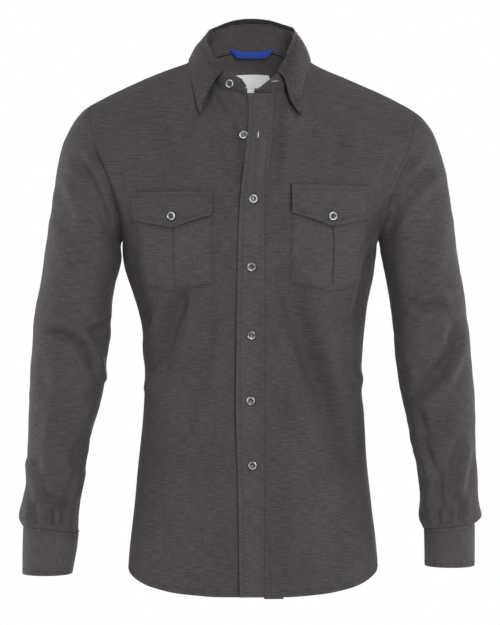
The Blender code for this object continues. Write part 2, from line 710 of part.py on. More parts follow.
def yoke_half(side):
    """Columns of one half of the yoke from the middle of the back out to the armhole."""
    columns = []
    for step in range(len(NECK_BACK) - 1, 0, -1):
        start_x, start_rise = NECK_BACK[step]
        end_x = BACK_SEAM_X[step]
        end_rise = back_seam_rise(side, end_x)
        columns.append((start_x, start_rise, end_x, end_rise, False))
    front_turns = shoulder_shares(side, True)
    back_turns = shoulder_shares(side, False)
    seam_rise = armhole_back_seam(side)[1]
    for place in range(len(front_turns)):
        start = abs(upper_point(side, front_turns[place], YOKE_FRONT_RISE)[0])
        end = abs(upper_point(side, back_turns[place], seam_rise)[0])
        last = place == len(front_turns) - 1
        end_rise = seam_rise if last else back_seam_rise(side, end)
        columns.append((start, YOKE_FRONT_RISE, end, end_rise, last))
    points = []
    normals = []
    for start_x, start_rise, end_x, end_rise, on_armhole in columns:
        line_points = []
        line_normals = []
        for row in range(YOKE_ROWS + 1):
            part = row / YOKE_ROWS
            rise = mix(start_rise, end_rise, part)
            if on_armhole:
                out = armhole_x(side, rise)
            else:
                start_share = start_x / armhole_x(side, start_rise)
                end_share = end_x / armhole_x(side, end_rise)
                out = mix(start_share, end_share, part) * armhole_x(side, rise)
            turn = turn_for(side, out, rise, None)
            behind = rise > 1.0
            point, normal = torso_node(side, turn, rise, None, behind)
            line_points.append(point)
            line_normals.append(normal)
        points.append(line_points)
        normals.append(line_normals)
    return np.array(points).transpose(1, 0, 2), np.array(normals).transpose(1, 0, 2)


def joined_halves(right, left):
    """Two halves that share their middle column, as one grid from the right to the left."""
    return np.concatenate((right[:, ::-1], left[:, 1:]), axis=1)


def back_half(side):
    """Columns of one half of the back from the middle outwards, rows from the hem up."""
    seam_x, seam_rise = armhole_back_seam(side)
    seam_turns = [turn_for(side, x, back_seam_rise(side, x), None)
                  for x in reversed(BACK_SEAM_X)][:-1]
    seam_rises = [back_seam_rise(side, x) for x in reversed(BACK_SEAM_X)][:-1]
    for turn in shoulder_shares(side, False):
        out = abs(upper_point(side, turn, seam_rise)[0])
        rise = back_seam_rise(side, out)
        seam_turns.append(turn_for(side, out, rise, None))
        seam_rises.append(rise)
    seam_rises[-1] = seam_rise
    seam_turns[-1] = turn_for(side, armhole_x(side, seam_rise), seam_rise, None)
    count = len(seam_turns)
    points = []
    normals = []
    for row in range(len(BACK_ROWS) + 2):
        row_points = []
        row_normals = []
        for place in range(count):
            part = place / (count - 1)
            low_turn = part * math.pi / 2.0
            last = place == count - 1
            if row == len(BACK_ROWS) + 1:
                turn = seam_turns[place]
                rise = seam_rises[place]
                height = None
            else:
                if row == 0:
                    bend = math.sin(low_turn) ** 3.0
                    height = mix(BACK_HEM_MIDDLE, BACK_HEM_SIDE, bend)
                else:
                    height = BACK_ROWS[row - 1]
                    if row == 1:
                        height += -0.002 + 0.025 * math.sin(low_turn) ** 3.0
                    if row == 2:
                        height += 0.010 * math.sin(low_turn) ** 3.0
                ease = min(max((height + 0.46) / 0.38, 0.0), 1.0)
                ease = ease * ease * (3.0 - 2.0 * ease)
                wanted = mix(low_turn, seam_turns[place], ease)
                if last:
                    turn, rise = node_at_height(side, 0, height, True, on_armhole=True)
                elif height > ARMPIT_HEIGHT:
                    edge_turn, edge_rise = node_at_height(side, 0, height, True,
                                                          on_armhole=True)
                    seam_edge = seam_turns[-1]
                    low_share = part * edge_turn
                    top_share = seam_turns[place] / seam_edge * edge_turn
                    turn, rise = node_at_height(side, mix(low_share, top_share, ease),
                                                height, True)
                else:
                    top_share = seam_turns[place] / seam_turns[-1] * math.pi / 2.0
                    turn, rise = node_at_height(side, mix(low_turn, top_share, ease),
                                                height, True)
            point, normal = torso_node(side, turn, rise, height, True)
            row_points.append(point)
            row_normals.append(normal)
        points.append(row_points)
        normals.append(row_normals)
    return np.array(points), np.array(normals)


def inset(points, amount, rows=(True, True), columns=(True, True)):
    """Draws the named edges of a grid back from their seams."""
    result = points.copy()

    def unit(vectors):
        return vectors / np.linalg.norm(vectors, axis=-1, keepdims=True)

    if rows[0]:
        result[0] += amount * unit(points[1] - points[0])
    if rows[1]:
        result[-1] += amount * unit(points[-2] - points[-1])
    if columns[0]:
        result[:, 0] += amount * unit(points[:, 1] - points[:, 0])
    if columns[1]:
        result[:, -1] += amount * unit(points[:, -2] - points[:, -1])
    return result


def add_solid(name, vertices, faces):
    mesh = bpy.data.meshes.new(name)
    mesh.from_pydata([tuple(float(value) for value in vertex) for vertex in vertices], [], faces)
    mesh.validate()
    form = bmesh.new()
    form.from_mesh(mesh)
    bmesh.ops.triangulate(form, faces=list(form.faces))
    bmesh.ops.recalc_face_normals(form, faces=list(form.faces))
    if form.calc_volume(signed=True) < 0.0:
        bmesh.ops.reverse_faces(form, faces=list(form.faces))
    form.to_mesh(mesh)
    form.free()
    thing = bpy.data.objects.new(name, mesh)
    bpy.context.scene.collection.objects.link(thing)
    return thing


def wall(name, outer, inner, closed=False):
    """A closed wall between two grids of the same size; closed joins the last column to the first."""
    rows, cols = outer.shape[:2]
    vertices = list(outer.reshape(-1, 3)) + list(inner.reshape(-1, 3))
    shift = rows * cols

    def at(row, col, layer):
        return row * cols + (col % cols) + layer * shift

    faces = []
    spans = cols if closed else cols - 1
    for row in range(rows - 1):
        for col in range(spans):
            a = at(row, col, 0)
            b = at(row, col + 1, 0)
            c = at(row + 1, col + 1, 0)
            d = at(row + 1, col, 0)
            faces.append((a, b, c))
            faces.append((a, c, d))
            a = at(row, col, 1)
            b = at(row, col + 1, 1)
            c = at(row + 1, col + 1, 1)
            d = at(row + 1, col, 1)
            faces.append((a, c, b))
            faces.append((a, d, c))
    for row, flip in ((0, False), (rows - 1, True)):
        for col in range(spans):
            quad = (at(row, col, 0), at(row, col, 1), at(row, col + 1, 1), at(row, col + 1, 0))
            faces.append(quad[::-1] if flip else quad)
    if not closed:
        for col, flip in ((0, True), (cols - 1, False)):
            for row in range(rows - 1):
                quad = (at(row, col, 0), at(row, col, 1), at(row + 1, col, 1),
                        at(row + 1, col, 0))
                faces.append(quad[::-1] if flip else quad)
    return add_solid(name, vertices, faces)


def panel(name, points, normals, thickness, lift=0.0):
    """A wall whose outer face is the grid moved out by lift plus its thickness minus its own."""
    return wall(name, points + normals * lift, points + normals * (lift - thickness))


def button(name, centre, normal, radius=BUTTON_RADIUS, height=BUTTON_HEIGHT):
    """A flat round button with a raised rim, standing just off what it is sewn to."""
    normal = normal / np.linalg.norm(normal)
    side = np.cross(normal, np.array((0.0, 0.0, 1.0)))
    side = side / np.linalg.norm(side)
    up = np.cross(side, normal)
    count = 12
    rings = (
        (0.72, 0.0), (0.96, 0.25), (1.0, 0.62), (0.88, 1.0), (0.66, 0.80),
    )
    vertices = []
    for share, level in rings:
        for step in range(count):
            angle = 2.0 * math.pi * step / count
            offset = side * math.cos(angle) + up * math.sin(angle)
            vertices.append(centre + offset * radius * share
                            + normal * (SEAM_GAP + level * height))
    faces = []
    for ring in range(len(rings) - 1):
        for step in range(count):
            after = (step + 1) % count
            faces.append((ring * count + step, ring * count + after,
                          (ring + 1) * count + after, (ring + 1) * count + step))
    faces.append(tuple(reversed(range(count))))
    top = (len(rings) - 1) * count
    faces.append(tuple(range(top, top + count)))
    return add_solid(name, vertices, faces)


def push_out(point, clearance):
    """Moves a point out until it is at least clearance off the torso above the armpits."""
    x, y, z = point
    side = RIGHT if x < 0.0 else LEFT
    behind = y > 0.0
    rise = rise_for(x, min(z, ridge_height(x) - 1e-5), behind)
    for _ in range(8):
        folded = rise if rise <= 1.0 else 2.0 - rise
        turn = turn_for(side, abs(x), rise, None)
        depth = smooth_read(UPPER_RISE, UPPER_BACK if behind else UPPER_FRONT, folded)
        depth = depth * abs(math.cos(turn)) ** (2.0 / RING_POWER)
        reach = ridge_height(x) - ARMPIT_HEIGHT
        a = (abs(y) / depth) ** SHOULDER_POWER
        b = (max(z - ARMPIT_HEIGHT, 0.0) / reach) ** SHOULDER_POWER
        folded = math.atan2(math.sqrt(b), math.sqrt(a)) / (math.pi / 2.0)
        rise = 2.0 - folded if behind else folded
    turn = turn_for(side, abs(x), rise, None)
    surface = upper_point(side, turn, rise)
    normal = upper_normal(side, turn, rise)
    off = float(np.dot(np.array(point) - surface, normal))
    if off < clearance:
        return np.array(point) + normal * (clearance - off)
    return np.array(point)


# Fronts, placket, back and yoke
front_points = {}
front_normals = {}
for side in (RIGHT, LEFT):
    front_points[side], front_normals[side] = front_grid(side)


def placket_grid():
    """The placket's three columns on the rows of the fronts."""
    points = []
    normals = []
    left = front_points[LEFT]
    right = front_points[RIGHT]
    rows = left.shape[0]
    for row in range(rows):
        line_points = []
        line_normals = []
        for part in (0.0, 0.5, 1.0):
            if part == 0.0:
                line_points.append(right[row, 0])
                line_normals.append(front_normals[RIGHT][row, 0])
                continue
            if part == 1.0:
                line_points.append(left[row, 0])
                line_normals.append(front_normals[LEFT][row, 0])
                continue
            x = mix(right[row, 0][0], left[row, 0][0], part)
            height = mix(right[row, 0][2], left[row, 0][2], part)
            side = RIGHT if x < 0.0 else LEFT
            turn, rise = node_at_height(side, 0, height, False, x_out=abs(x))
            point, normal = torso_node(side, turn, rise, height, False)
            line_points.append(point)
            line_normals.append(normal)
        points.append(line_points)
        normals.append(line_normals)
    return np.array(points), np.array(normals)


placket_points, placket_normals = placket_grid()

yoke_right, yoke_right_normals = yoke_half(RIGHT)
yoke_left, yoke_left_normals = yoke_half(LEFT)
yoke_points = joined_halves(yoke_right, yoke_left)
yoke_normals = joined_halves(yoke_right_normals, yoke_left_normals)
back_right, back_right_normals = back_half(RIGHT)
back_left, back_left_normals = back_half(LEFT)
back_points = joined_halves(back_right, back_left)
back_normals = joined_halves(back_right_normals, back_left_normals)

# The under front runs on below the placket, a little lower than its own face.
UNDER_DROP = 0.0017
under_first = mix(placket_points[:, 1], placket_points[:, 2], 0.70)
under_columns = np.stack((under_first, placket_points[:, 1]), axis=1)
under_normals = np.stack((placket_normals[:, 1], placket_normals[:, 1]), axis=1)
right_points = np.concatenate((under_columns, front_points[RIGHT]), axis=1)
right_normals = np.concatenate((under_normals, front_normals[RIGHT]), axis=1)
right_drop = np.zeros(right_points.shape[1])
right_drop[:3] = UNDER_DROP
right_drop[3] = UNDER_DROP * 0.35
right_points = right_points - right_normals * right_drop[None, :, None]
right_points = inset(right_points, HALF_GAP, rows=(False, True), columns=(False, True))
panel("front_right", right_points, right_normals, CLOTH)

left_points = inset(front_points[LEFT], HALF_GAP, rows=(False, True))
panel("front_left", left_points, front_normals[LEFT], CLOTH)

placket_outer = inset(placket_points, HALF_GAP, rows=(False, True), columns=(False, True))
panel("front_placket", placket_outer, placket_normals, STIFF_CLOTH, lift=0.0006)

back_inset = inset(back_points, HALF_GAP, rows=(False, True))
panel("back", back_inset, back_normals, CLOTH)

yoke_inset = inset(yoke_points, HALF_GAP, rows=(True, True))
panel("yoke", yoke_inset, yoke_normals, CLOTH)


# Pockets and flaps, from the points of the front they lie on
INNER_COLUMN = SPAN_COUNTS[0]
MIDDLE_COLUMN = INNER_COLUMN + SPAN_COUNTS[1]
OUTER_COLUMN = MIDDLE_COLUMN + SPAN_COUNTS[2]
PLEAT_DEPTH = 0.0006
for side, word in ((RIGHT, "right"), (LEFT, "left")):
    rows = slice(POCKET_BOTTOM_ROW, FLAP_TOP_ROW)
    cols = slice(INNER_COLUMN, OUTER_COLUMN + 1)
    base = front_points[side][rows, cols]
    out = front_normals[side][rows, cols]
    low = base + out * SEAM_GAP
    high = base + out * (SEAM_GAP + CLOTH)
    pleat = SPAN_COUNTS[1]
    high[:-1, pleat] -= out[:-1, pleat] * PLEAT_DEPTH
    wall("pocket_" + word, high, low)
    rows = slice(FLAP_EDGE_ROW, FLAP_TOP_ROW + 1)
    base = front_points[side][rows, cols]
    out = front_normals[side][rows, cols]
    lift = np.array((0.0026, 0.0022, 0.0019))[:, None, None]
    low = base + out * lift
    high = low + out * STIFF_CLOTH
    wall("pocket_flap_" + word, high, low)


# Sleeves: the first ring is the armhole itself, moved out by the seam's gap
def armhole_loop(side):
    """Nodes round one armhole from the armpit up the front, over and down the back."""
    front = front_points[side]
    front_out = front_normals[side]
    yoke = yoke_right if side == RIGHT else yoke_left
    yoke_out = yoke_right_normals if side == RIGHT else yoke_left_normals
    back = back_right if side == RIGHT else back_left
    back_out = back_right_normals if side == RIGHT else back_left_normals
    nodes = [front[row, -1] for row in range(ARMPIT_ROW, front.shape[0])]
    outs = [front_out[row, -1] for row in range(ARMPIT_ROW, front.shape[0])]
    inward = [front[row, -2] for row in range(ARMPIT_ROW, front.shape[0])]
    for row in range(1, YOKE_ROWS + 1):
        nodes.append(yoke[row, -1])
        outs.append(yoke_out[row, -1])
        inward.append(yoke[row, -2])
    for row in range(back.shape[0] - 2, BACK_ARMPIT_ROW, -1):
        nodes.append(back[row, -1])
        outs.append(back_out[row, -1])
        inward.append(back[row, -2])
    return np.array(nodes), np.array(outs), np.array(inward)


def sleeve_fold(rows, turn, height, radius):
    total = 0.0
    for row in rows:
        fold = dict(zip(SLEEVE_FOLD_COLUMNS, row))
        scale = radius * math.pi / 180.0
        start = np.array((fold["turn0"] * scale, fold["z0"]))
        end = np.array((fold["turn1"] * scale, fold["z1"]))
        line = end - start
        length = np.linalg.norm(line)
        offset = np.array((turn * scale, height)) - start
        along = float(np.dot(offset, line)) / (length * length)
        across = (line[0] * offset[1] - line[1] * offset[0]) / length
        if along < -0.2 or along > 1.2:
            continue
        fade = math.sin(math.pi * (along + 0.2) / 1.4) ** 2
        total += fold["height"] * fade * math.exp(-(across / fold["half_width"]) ** 2)
    return total


def sleeve_ring(side, data, angles):
    """Points of one ring from its outer and inner points and its two depths."""
    outer = np.array((data["outer_x"], data["outer_z"]))
    inner = np.array((data["inner_x"], data["inner_z"]))
    middle = (outer + inner) / 2.0
    half = (outer - inner) / 2.0
    centre_y = (data["front"] + data["back"]) / 2.0
    half_y = (data["back"] - data["front"]) / 2.0
    ring = []
    for angle in angles:
        across = signed_power(math.cos(angle), 0.92)
        ahead = signed_power(math.sin(angle), 0.92)
        flat = middle + half * across
        ring.append((side * flat[0], centre_y - half_y * ahead, flat[1]))
    return np.array(ring)


def grid_normals(grid, closed):
    """Outward-or-inward normals of a grid from its neighbours."""
    rows, cols = grid.shape[:2]
    result = np.zeros_like(grid)
    for row in range(rows):
        low = max(row - 1, 0)
        high = min(row + 1, rows - 1)
        for col in range(cols):
            if closed:
                before = (col - 1) % cols
                after = (col + 1) % cols
            else:
                before = max(col - 1, 0)
                after = min(col + 1, cols - 1)
            normal = np.cross(grid[row, after] - grid[row, before],
                              grid[high, col] - grid[low, col])
            result[row, col] = normal / np.linalg.norm(normal)
    return result


sleeve_grids = {}
for side, word, rings, folds in ((RIGHT, "right", SLEEVE_RIGHT, SLEEVE_FOLDS_RIGHT),
                                 (LEFT, "left", SLEEVE_LEFT, SLEEVE_FOLDS_LEFT)):
    loop, loop_out, loop_in = armhole_loop(side)
    count = len(loop)
    away = loop - loop_in
    away = away / np.linalg.norm(away, axis=1, keepdims=True)
    away[0] = (0.0, 0.0, -1.0)
    first = loop + away * (HALF_GAP + 0.00005)
    first[0] = loop[0] + np.array((side * 0.0006, 0.0, -0.0002))
    lengths = np.linalg.norm(np.roll(loop, -1, axis=0) - loop, axis=1)
    along = np.concatenate(((0.0,), np.cumsum(lengths)))[:-1] / lengths.sum()
    angles = math.pi - along * 2.0 * math.pi
    top = loop[np.argmax(loop[:, 2])]
    start = {
        "outer_x": abs(top[0]), "outer_z": top[2],
        "inner_x": abs(loop[0][0]), "inner_z": loop[0][2],
        "front": loop[:, 1].min(), "back": loop[:, 1].max(),
    }
    remainder = first - sleeve_ring(side, start, angles)
    grid = [first]
    for place, row in enumerate(rings):
        data = dict(zip(SLEEVE_COLUMNS, row))
        ring = sleeve_ring(side, data, angles)
        if place < len(BLEND_TO_ARMHOLE):
            ring = ring + remainder * BLEND_TO_ARMHOLE[place]
        grid.append(ring)
    grid = np.array(grid)
    normals = grid_normals(grid, True)
    middle = grid.mean(axis=1, keepdims=True)
    if (normals * (grid - middle)).sum() < 0.0:
        normals = -normals
    last = len(grid) - 1
    for ring in range(2, last - 1):
        for col in range(count):
            turn = math.degrees(angles[col]) % 360.0
            height = grid[ring, col, 2]
            size = sleeve_fold(folds, turn, height, 0.052)
            grid[ring, col] += normals[ring, col] * size
    normals = grid_normals(grid, True)
    if (normals * (grid - middle)).sum() < 0.0:
        normals = -normals
    normals[0] = loop_out
    normals[0, 0] = (-side * 1.0, 0.0, 0.0)
    ease = (0.55, 0.25)
    for ring, part in enumerate(ease, start=1):
        mixed = mix(normals[ring], loop_out, part)
        keep = normals[ring].copy()
        normals[ring] = mixed / np.linalg.norm(mixed, axis=1, keepdims=True)
        normals[ring, 0] = keep[0]
        normals[ring, 1] = keep[1]
        normals[ring, -1] = keep[-1]
    sleeve_grids[side] = (grid, normals, angles)
    wall("sleeve_" + word, grid, grid - normals * CLOTH, closed=True)


# Cuffs: a band that laps over its own end
def cuff_point(data, side, angle, out):
    middle = (data["outer_x"] + data["inner_x"]) / 2.0
    half = (data["outer_x"] - data["inner_x"]) / 2.0 + out
    centre_y = (data["front"] + data["back"]) / 2.0
    half_y = (data["back"] - data["front"]) / 2.0 + out
    x = side * (middle + half * signed_power(math.cos(angle), 0.92))
    y = centre_y - half_y * signed_power(math.sin(angle), 0.92)
    return np.array((x, y, data["height"]))


CUFF_LAP_OUT = STIFF_CLOTH + SEAM_GAP + 0.0002
cuff_buttons = {}
for side, word, rings in ((RIGHT, "right", CUFF_RIGHT), (LEFT, "left", CUFF_LEFT)):
    outer = []
    inner = []
    total = CUFF_STEPS + CUFF_LAP_STEPS
    for row in rings:
        data = dict(zip(CUFF_COLUMNS, row))
        outer_row = []
        inner_row = []
        for step in range(total + 1):
            angle = math.radians(CUFF_START_TURN) + 2.0 * math.pi * step / CUFF_STEPS
            part = min(max((step - (CUFF_STEPS - 3)) / 3.0, 0.0), 1.0)
            out = CUFF_LAP_OUT * part
            outer_row.append(cuff_point(data, side, angle, out))
            inner_row.append(cuff_point(data, side, angle, out - STIFF_CLOTH))
        outer.append(outer_row)
        inner.append(inner_row)
    outer = np.array(outer)
    inner = np.array(inner)
    wall("cuff_" + word, outer, inner)
    spot = mix(outer[1, -2], outer[2, -2], 0.5)
    spot_next = mix(outer[1, -3], outer[2, -3], 0.5)
    spot_last = mix(outer[1, -1], outer[2, -1], 0.5)
    normal = np.cross(spot_last - spot_next, outer[2, -2] - outer[1, -2])
    centre = np.array((side * 0.277, -0.005, spot[2]))
    if np.dot(normal, spot - centre) < 0.0:
        normal = -normal
    cuff_buttons[word] = (spot, normal)

# The plain strip at the sleeve's slit, from the sleeve's own points
SLIT_COLUMN_TURN = CUFF_START_TURN
for side, word in ((RIGHT, "right"), (LEFT, "left")):
    grid, normals, angles = sleeve_grids[side]
    turns = np.degrees(angles) % 360.0
    first_col = int(np.argmin(np.abs(turns - SLIT_COLUMN_TURN)))
    rows = slice(len(grid) - 7, len(grid) - 1)
    cols = [first_col, (first_col + 1) % len(turns)]
    base = grid[rows][:, cols]
    out = normals[rows][:, cols]
    middle = base.mean(axis=1, keepdims=True)
    wall("sleeve_placket_" + word, base + out * (SEAM_GAP + CLOTH), base + out * SEAM_GAP)


# Collar: the stand on the neckline, then the leaf over it
def neck_stations():
    """The neckline's nodes from the right end to the left end, each with its seam point."""
    right = front_points[RIGHT][-1]
    left = front_points[LEFT][-1]
    nodes = [mix(right[0], right[1], 0.55)]
    for col in range(1, INNER_COLUMN):
        nodes.append(right[col])
    for step in range(INNER_COLUMN, -INNER_COLUMN - 1, -1):
        if step >= 0:
            nodes.append(yoke_right[0, step])
        else:
            nodes.append(yoke_left[0, -step])
    for col in range(INNER_COLUMN - 1, -1, -1):
        nodes.append(left[col])
    nodes.append(placket_points[-1, 1] + placket_normals[-1, 1] * 0.0006)
    nodes.append(mix(placket_points[-1, 1], placket_points[-1, 0], 0.55)
                 + placket_normals[-1, 0] * 0.0006)
    return np.array(nodes)


def station_shares(nodes):
    """How far along each half every station is: 0 at the back's middle, -1 and 1 at the ends."""
    middle = INNER_COLUMN * 2
    lengths = np.linalg.norm(np.diff(nodes, axis=0), axis=1)
    total = np.concatenate(((0.0,), np.cumsum(lengths)))
    total = total - total[middle]
    shares = np.where(total < 0.0, total / abs(total[0]), total / total[-1])
    return shares


def collar_read(rows, names, share):
    word = "right" if share < 0.0 else "left"
    keys = column(rows, names, "along")
    x = smooth_read(keys, column(rows, names, "x_" + word), abs(share))
    z = smooth_read(keys, column(rows, names, "z_" + word), abs(share))
    y = smooth_read(keys, column(rows, names, "y"), abs(share))
    return np.array(((-x if share < 0.0 else x), y, z))


neck_nodes = neck_stations()
neck_shares = station_shares(neck_nodes)
STAND_ROWS = 3
NECK_CENTRE = np.array((0.0, -0.004, 0.0))
stand_outer = []
stand_inner = []
for node, share in zip(neck_nodes, neck_shares):
    base = node + np.array((0.0, 0.0, 0.00040))
    top = collar_read(STAND_TOP, STAND_COLUMNS, share)
    flat = node - NECK_CENTRE
    flat[2] = 0.0
    if abs(share) > 0.84:
        flat = mix(flat / np.linalg.norm(flat), np.array((0.0, -1.0, 0.0)), 0.7)
    flat = flat / np.linalg.norm(flat)
    outer_line = []
    inner_line = []
    for row in range(STAND_ROWS + 1):
        part = row / STAND_ROWS
        point = mix(base, top, part)
        point = point + flat * 0.0015 * math.sin(math.pi * part)
        outer_line.append(point)
        inner_line.append(point - flat * STIFF_CLOTH)
    stand_outer.append(outer_line)
    stand_inner.append(inner_line)
stand_outer = np.array(stand_outer).transpose(1, 0, 2)
stand_inner = np.array(stand_inner).transpose(1, 0, 2)
wall("collar_stand", stand_outer, stand_inner)

leaf_low = []
leaf_high = []
leaf_shares = [share for share in neck_shares if abs(share) < LEAF_END - 0.015]
leaf_shares = [-LEAF_END] + leaf_shares + [LEAF_END]


def stand_read(grid, share):
    """A point of the stand between its stations."""
    place = int(np.searchsorted(neck_shares, share))
    place = min(max(place, 1), len(neck_shares) - 1)
    part = (share - neck_shares[place - 1]) / (neck_shares[place] - neck_shares[place - 1])
    return mix(grid[-1, place - 1], grid[-1, place], part)


leaf_outer = []
leaf_inner = []
for share in leaf_shares:
    top_out = stand_read(stand_outer, share)
    top_in = stand_read(stand_inner, share)
    away = top_out - top_in
    away = away / np.linalg.norm(away)
    up = np.array((0.0, 0.0, 1.0))
    edge = collar_read(LEAF_EDGE, LEAF_COLUMNS, share)
    over_shoulder = math.exp(-((abs(share) - 0.50) / 0.16) ** 2)
    clearance = 0.0032 + 0.0040 * over_shoulder
    edge = push_out(edge, clearance)
    line = [
        (top_in + up * 0.0006, top_out + up * 0.0006),
        (top_in + up * 0.0056 - away * 0.0002, top_in + up * 0.0038 + away * 0.0014),
        (top_out + up * 0.0058 + away * 0.0020, top_out + up * 0.0036 + away * 0.0012),
        (top_out + up * 0.0012 + away * 0.0044, top_out - up * 0.0004 + away * 0.0022),
    ]
    start = line[-1][0]
    direction = edge - start
    length = np.linalg.norm(direction)
    sideways = np.cross(direction / length, np.cross(away, direction / length))
    sideways = sideways / np.linalg.norm(sideways)
    if np.dot(sideways, away) < 0.0:
        sideways = -sideways
    bulge = 0.0030 + 0.0040 * max(0.0, (abs(share) - 0.45) / 0.45)
    for part in LEAF_ROWS:
        point = start + direction * part + sideways * bulge * math.sin(math.pi * part ** 0.8)
        point = push_out(point, clearance)
        line.append((point, point - sideways * STIFF_CLOTH))
    leaf_outer.append([pair[0] for pair in line])
    leaf_inner.append([pair[1] for pair in line])
leaf_outer = np.array(leaf_outer).transpose(1, 0, 2)
leaf_inner = np.array(leaf_inner).transpose(1, 0, 2)
wall("collar_leaf", leaf_outer, leaf_inner)

# Buttons
for name, height, offset, kind in FRONT_BUTTONS:
    if kind == "placket":
        x = (placket_x("free_edge", height) + placket_x("stitched_edge", height)) / 2.0 + offset
        lift = 0.0006
    else:
        x = offset
        lift = UNDER_BUTTON_LIFT
    side = RIGHT if x < 0.0 else LEFT
    turn, rise = node_at_height(side, 0, height, False, x_out=abs(x))
    point, normal = torso_node(side, turn, rise, height, False)
    button(name, point + normal * (lift + 0.0002), normal)
for side, word in ((RIGHT, "right"), (LEFT, "left")):
    base = front_points[side][FLAP_EDGE_ROW + 1, MIDDLE_COLUMN]
    low = front_points[side][FLAP_EDGE_ROW, MIDDLE_COLUMN]
    out = front_normals[side][FLAP_EDGE_ROW + 1, MIDDLE_COLUMN]
    spot = mix(low, base, 0.52) + out * (0.0024 + STIFF_CLOTH + 0.0003)
    button("button_flap_" + word, spot, out)
    spot, normal = cuff_buttons[word]
    button("button_cuff_" + word, spot, normal)

spot_share = -0.915
stand_place = int(np.argmin(np.abs(neck_shares - spot_share)))
low = stand_outer[1, stand_place]
high = stand_outer[2, stand_place]
stand_side = stand_outer[1, stand_place + 1] - stand_outer[1, stand_place - 1]
stand_normal = np.cross(high - low, stand_side)
if stand_normal[1] > 0.0:
    stand_normal = -stand_normal
button("button_collar", mix(low, high, 0.15), stand_normal)


# Hanging loop and labels inside the back of the neck
def ribbon(name, path, width_line, thickness_line, thickness):
    """A flat strip along a path of points."""
    outer = []
    inner = []
    for point in path:
        outer.append([point - width_line, point + width_line])
        inner.append([point - width_line + thickness_line * thickness,
                      point + width_line + thickness_line * thickness])
    return wall(name, np.array(outer), np.array(inner))


middle_station = INNER_COLUMN * 2
seam_in = stand_inner[0, middle_station]
LOOP_HALF = 0.030
loop_path = []
for part in np.linspace(-1.0, 1.0, 9):
    drop = 0.011 * (1.0 - abs(part) ** 2.6)
    x = LOOP_HALF * part
    y = seam_in[1] - 0.0040 - 0.0020 * (1.0 - part * part)
    loop_path.append(np.array((x, y, seam_in[2] - 0.0015 - drop)))
up_line = np.array((0.0, 0.0, 0.0028))
toward_front = np.array((0.0, -1.0, 0.0))
ribbon("hanging_loop", loop_path, up_line, toward_front, 0.0011)


def inside_patch(name, cols, rows, off, thickness):
    """A flat piece on the inside of the yoke, at places counted in its columns and rows."""
    inner = yoke_inset - yoke_normals * CLOTH
    outer = []
    under = []
    for row in rows:
        low = min(int(math.floor(row)), YOKE_ROWS - 1)
        outer_line = []
        under_line = []
        for col in cols:
            left_col = int(math.floor(col))
            a = mix(inner[low, left_col], inner[low, left_col + 1], col - left_col)
            b = mix(inner[low + 1, left_col], inner[low + 1, left_col + 1], col - left_col)
            out = yoke_normals[low, left_col]
            point = mix(a, b, row - low)
            outer_line.append(point - out * off)
            under_line.append(point - out * (off + thickness))
        outer.append(outer_line)
        under.append(under_line)
    return wall(name, np.array(outer), np.array(under))


YOKE_MIDDLE = yoke_right.shape[1] - 1
inside_patch("neck_label", (YOKE_MIDDLE - 1, YOKE_MIDDLE, YOKE_MIDDLE + 1),
             (1.90, 2.0, 2.92), 0.0005, 0.0010)
inside_patch("size_tab", (YOKE_MIDDLE - 0.30, YOKE_MIDDLE, YOKE_MIDDLE + 0.15),
             (2.95, 3.0, 3.50), 0.0005, 0.0010)
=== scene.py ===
# %% [markdown]
# A long-sleeved twill shirt, filled out as if worn, with nobody in it.
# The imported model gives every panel's place. Each panel of cloth is made again here from
# its own panel: its outer face is copied, made fine, creased, and given a thickness.

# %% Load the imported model
import math
import json
import bpy
import bmesh
import numpy as np
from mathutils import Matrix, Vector, noise
from mathutils.bvhtree import BVHTree

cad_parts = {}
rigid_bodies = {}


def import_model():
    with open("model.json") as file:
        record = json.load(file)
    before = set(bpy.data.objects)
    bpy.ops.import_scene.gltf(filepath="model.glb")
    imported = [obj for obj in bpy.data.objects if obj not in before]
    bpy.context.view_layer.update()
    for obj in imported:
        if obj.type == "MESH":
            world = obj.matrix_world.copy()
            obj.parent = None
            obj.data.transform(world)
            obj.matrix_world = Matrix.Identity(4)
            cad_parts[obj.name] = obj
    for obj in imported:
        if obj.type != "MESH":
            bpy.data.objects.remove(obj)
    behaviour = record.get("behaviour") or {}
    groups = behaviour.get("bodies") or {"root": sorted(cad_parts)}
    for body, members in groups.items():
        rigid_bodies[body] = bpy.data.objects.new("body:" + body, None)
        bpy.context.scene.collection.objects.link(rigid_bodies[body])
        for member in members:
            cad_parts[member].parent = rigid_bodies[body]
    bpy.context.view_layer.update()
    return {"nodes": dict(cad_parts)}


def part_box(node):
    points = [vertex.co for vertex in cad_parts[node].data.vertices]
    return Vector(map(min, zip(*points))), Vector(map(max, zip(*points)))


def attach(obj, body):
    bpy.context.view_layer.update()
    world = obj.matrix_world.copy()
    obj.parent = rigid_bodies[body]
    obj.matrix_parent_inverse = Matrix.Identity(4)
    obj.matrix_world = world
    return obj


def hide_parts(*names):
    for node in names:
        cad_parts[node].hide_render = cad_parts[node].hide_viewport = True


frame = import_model()
bpy.ops.object.select_all(action="DESELECT")
scene = bpy.context.scene
print("nodes", len(frame["nodes"]))

# %% [markdown]
# The camera stands three metres in front of the shirt, level with its middle, as in a
# studio. A long lens keeps the sides parallel.

# %% Camera
VIEW_DISTANCE = 3.0
VIEW_HEIGHT = -0.3445
VIEW_ACROSS = -0.0028
bpy.ops.object.camera_add(location=(VIEW_ACROSS, -VIEW_DISTANCE, VIEW_HEIGHT),
                          rotation=(math.radians(90.0), 0.0, 0.0))
camera = bpy.context.object
camera.data.lens = 125.2
camera.data.sensor_width = 36.0
camera.data.clip_end = 60.0
scene.camera = camera

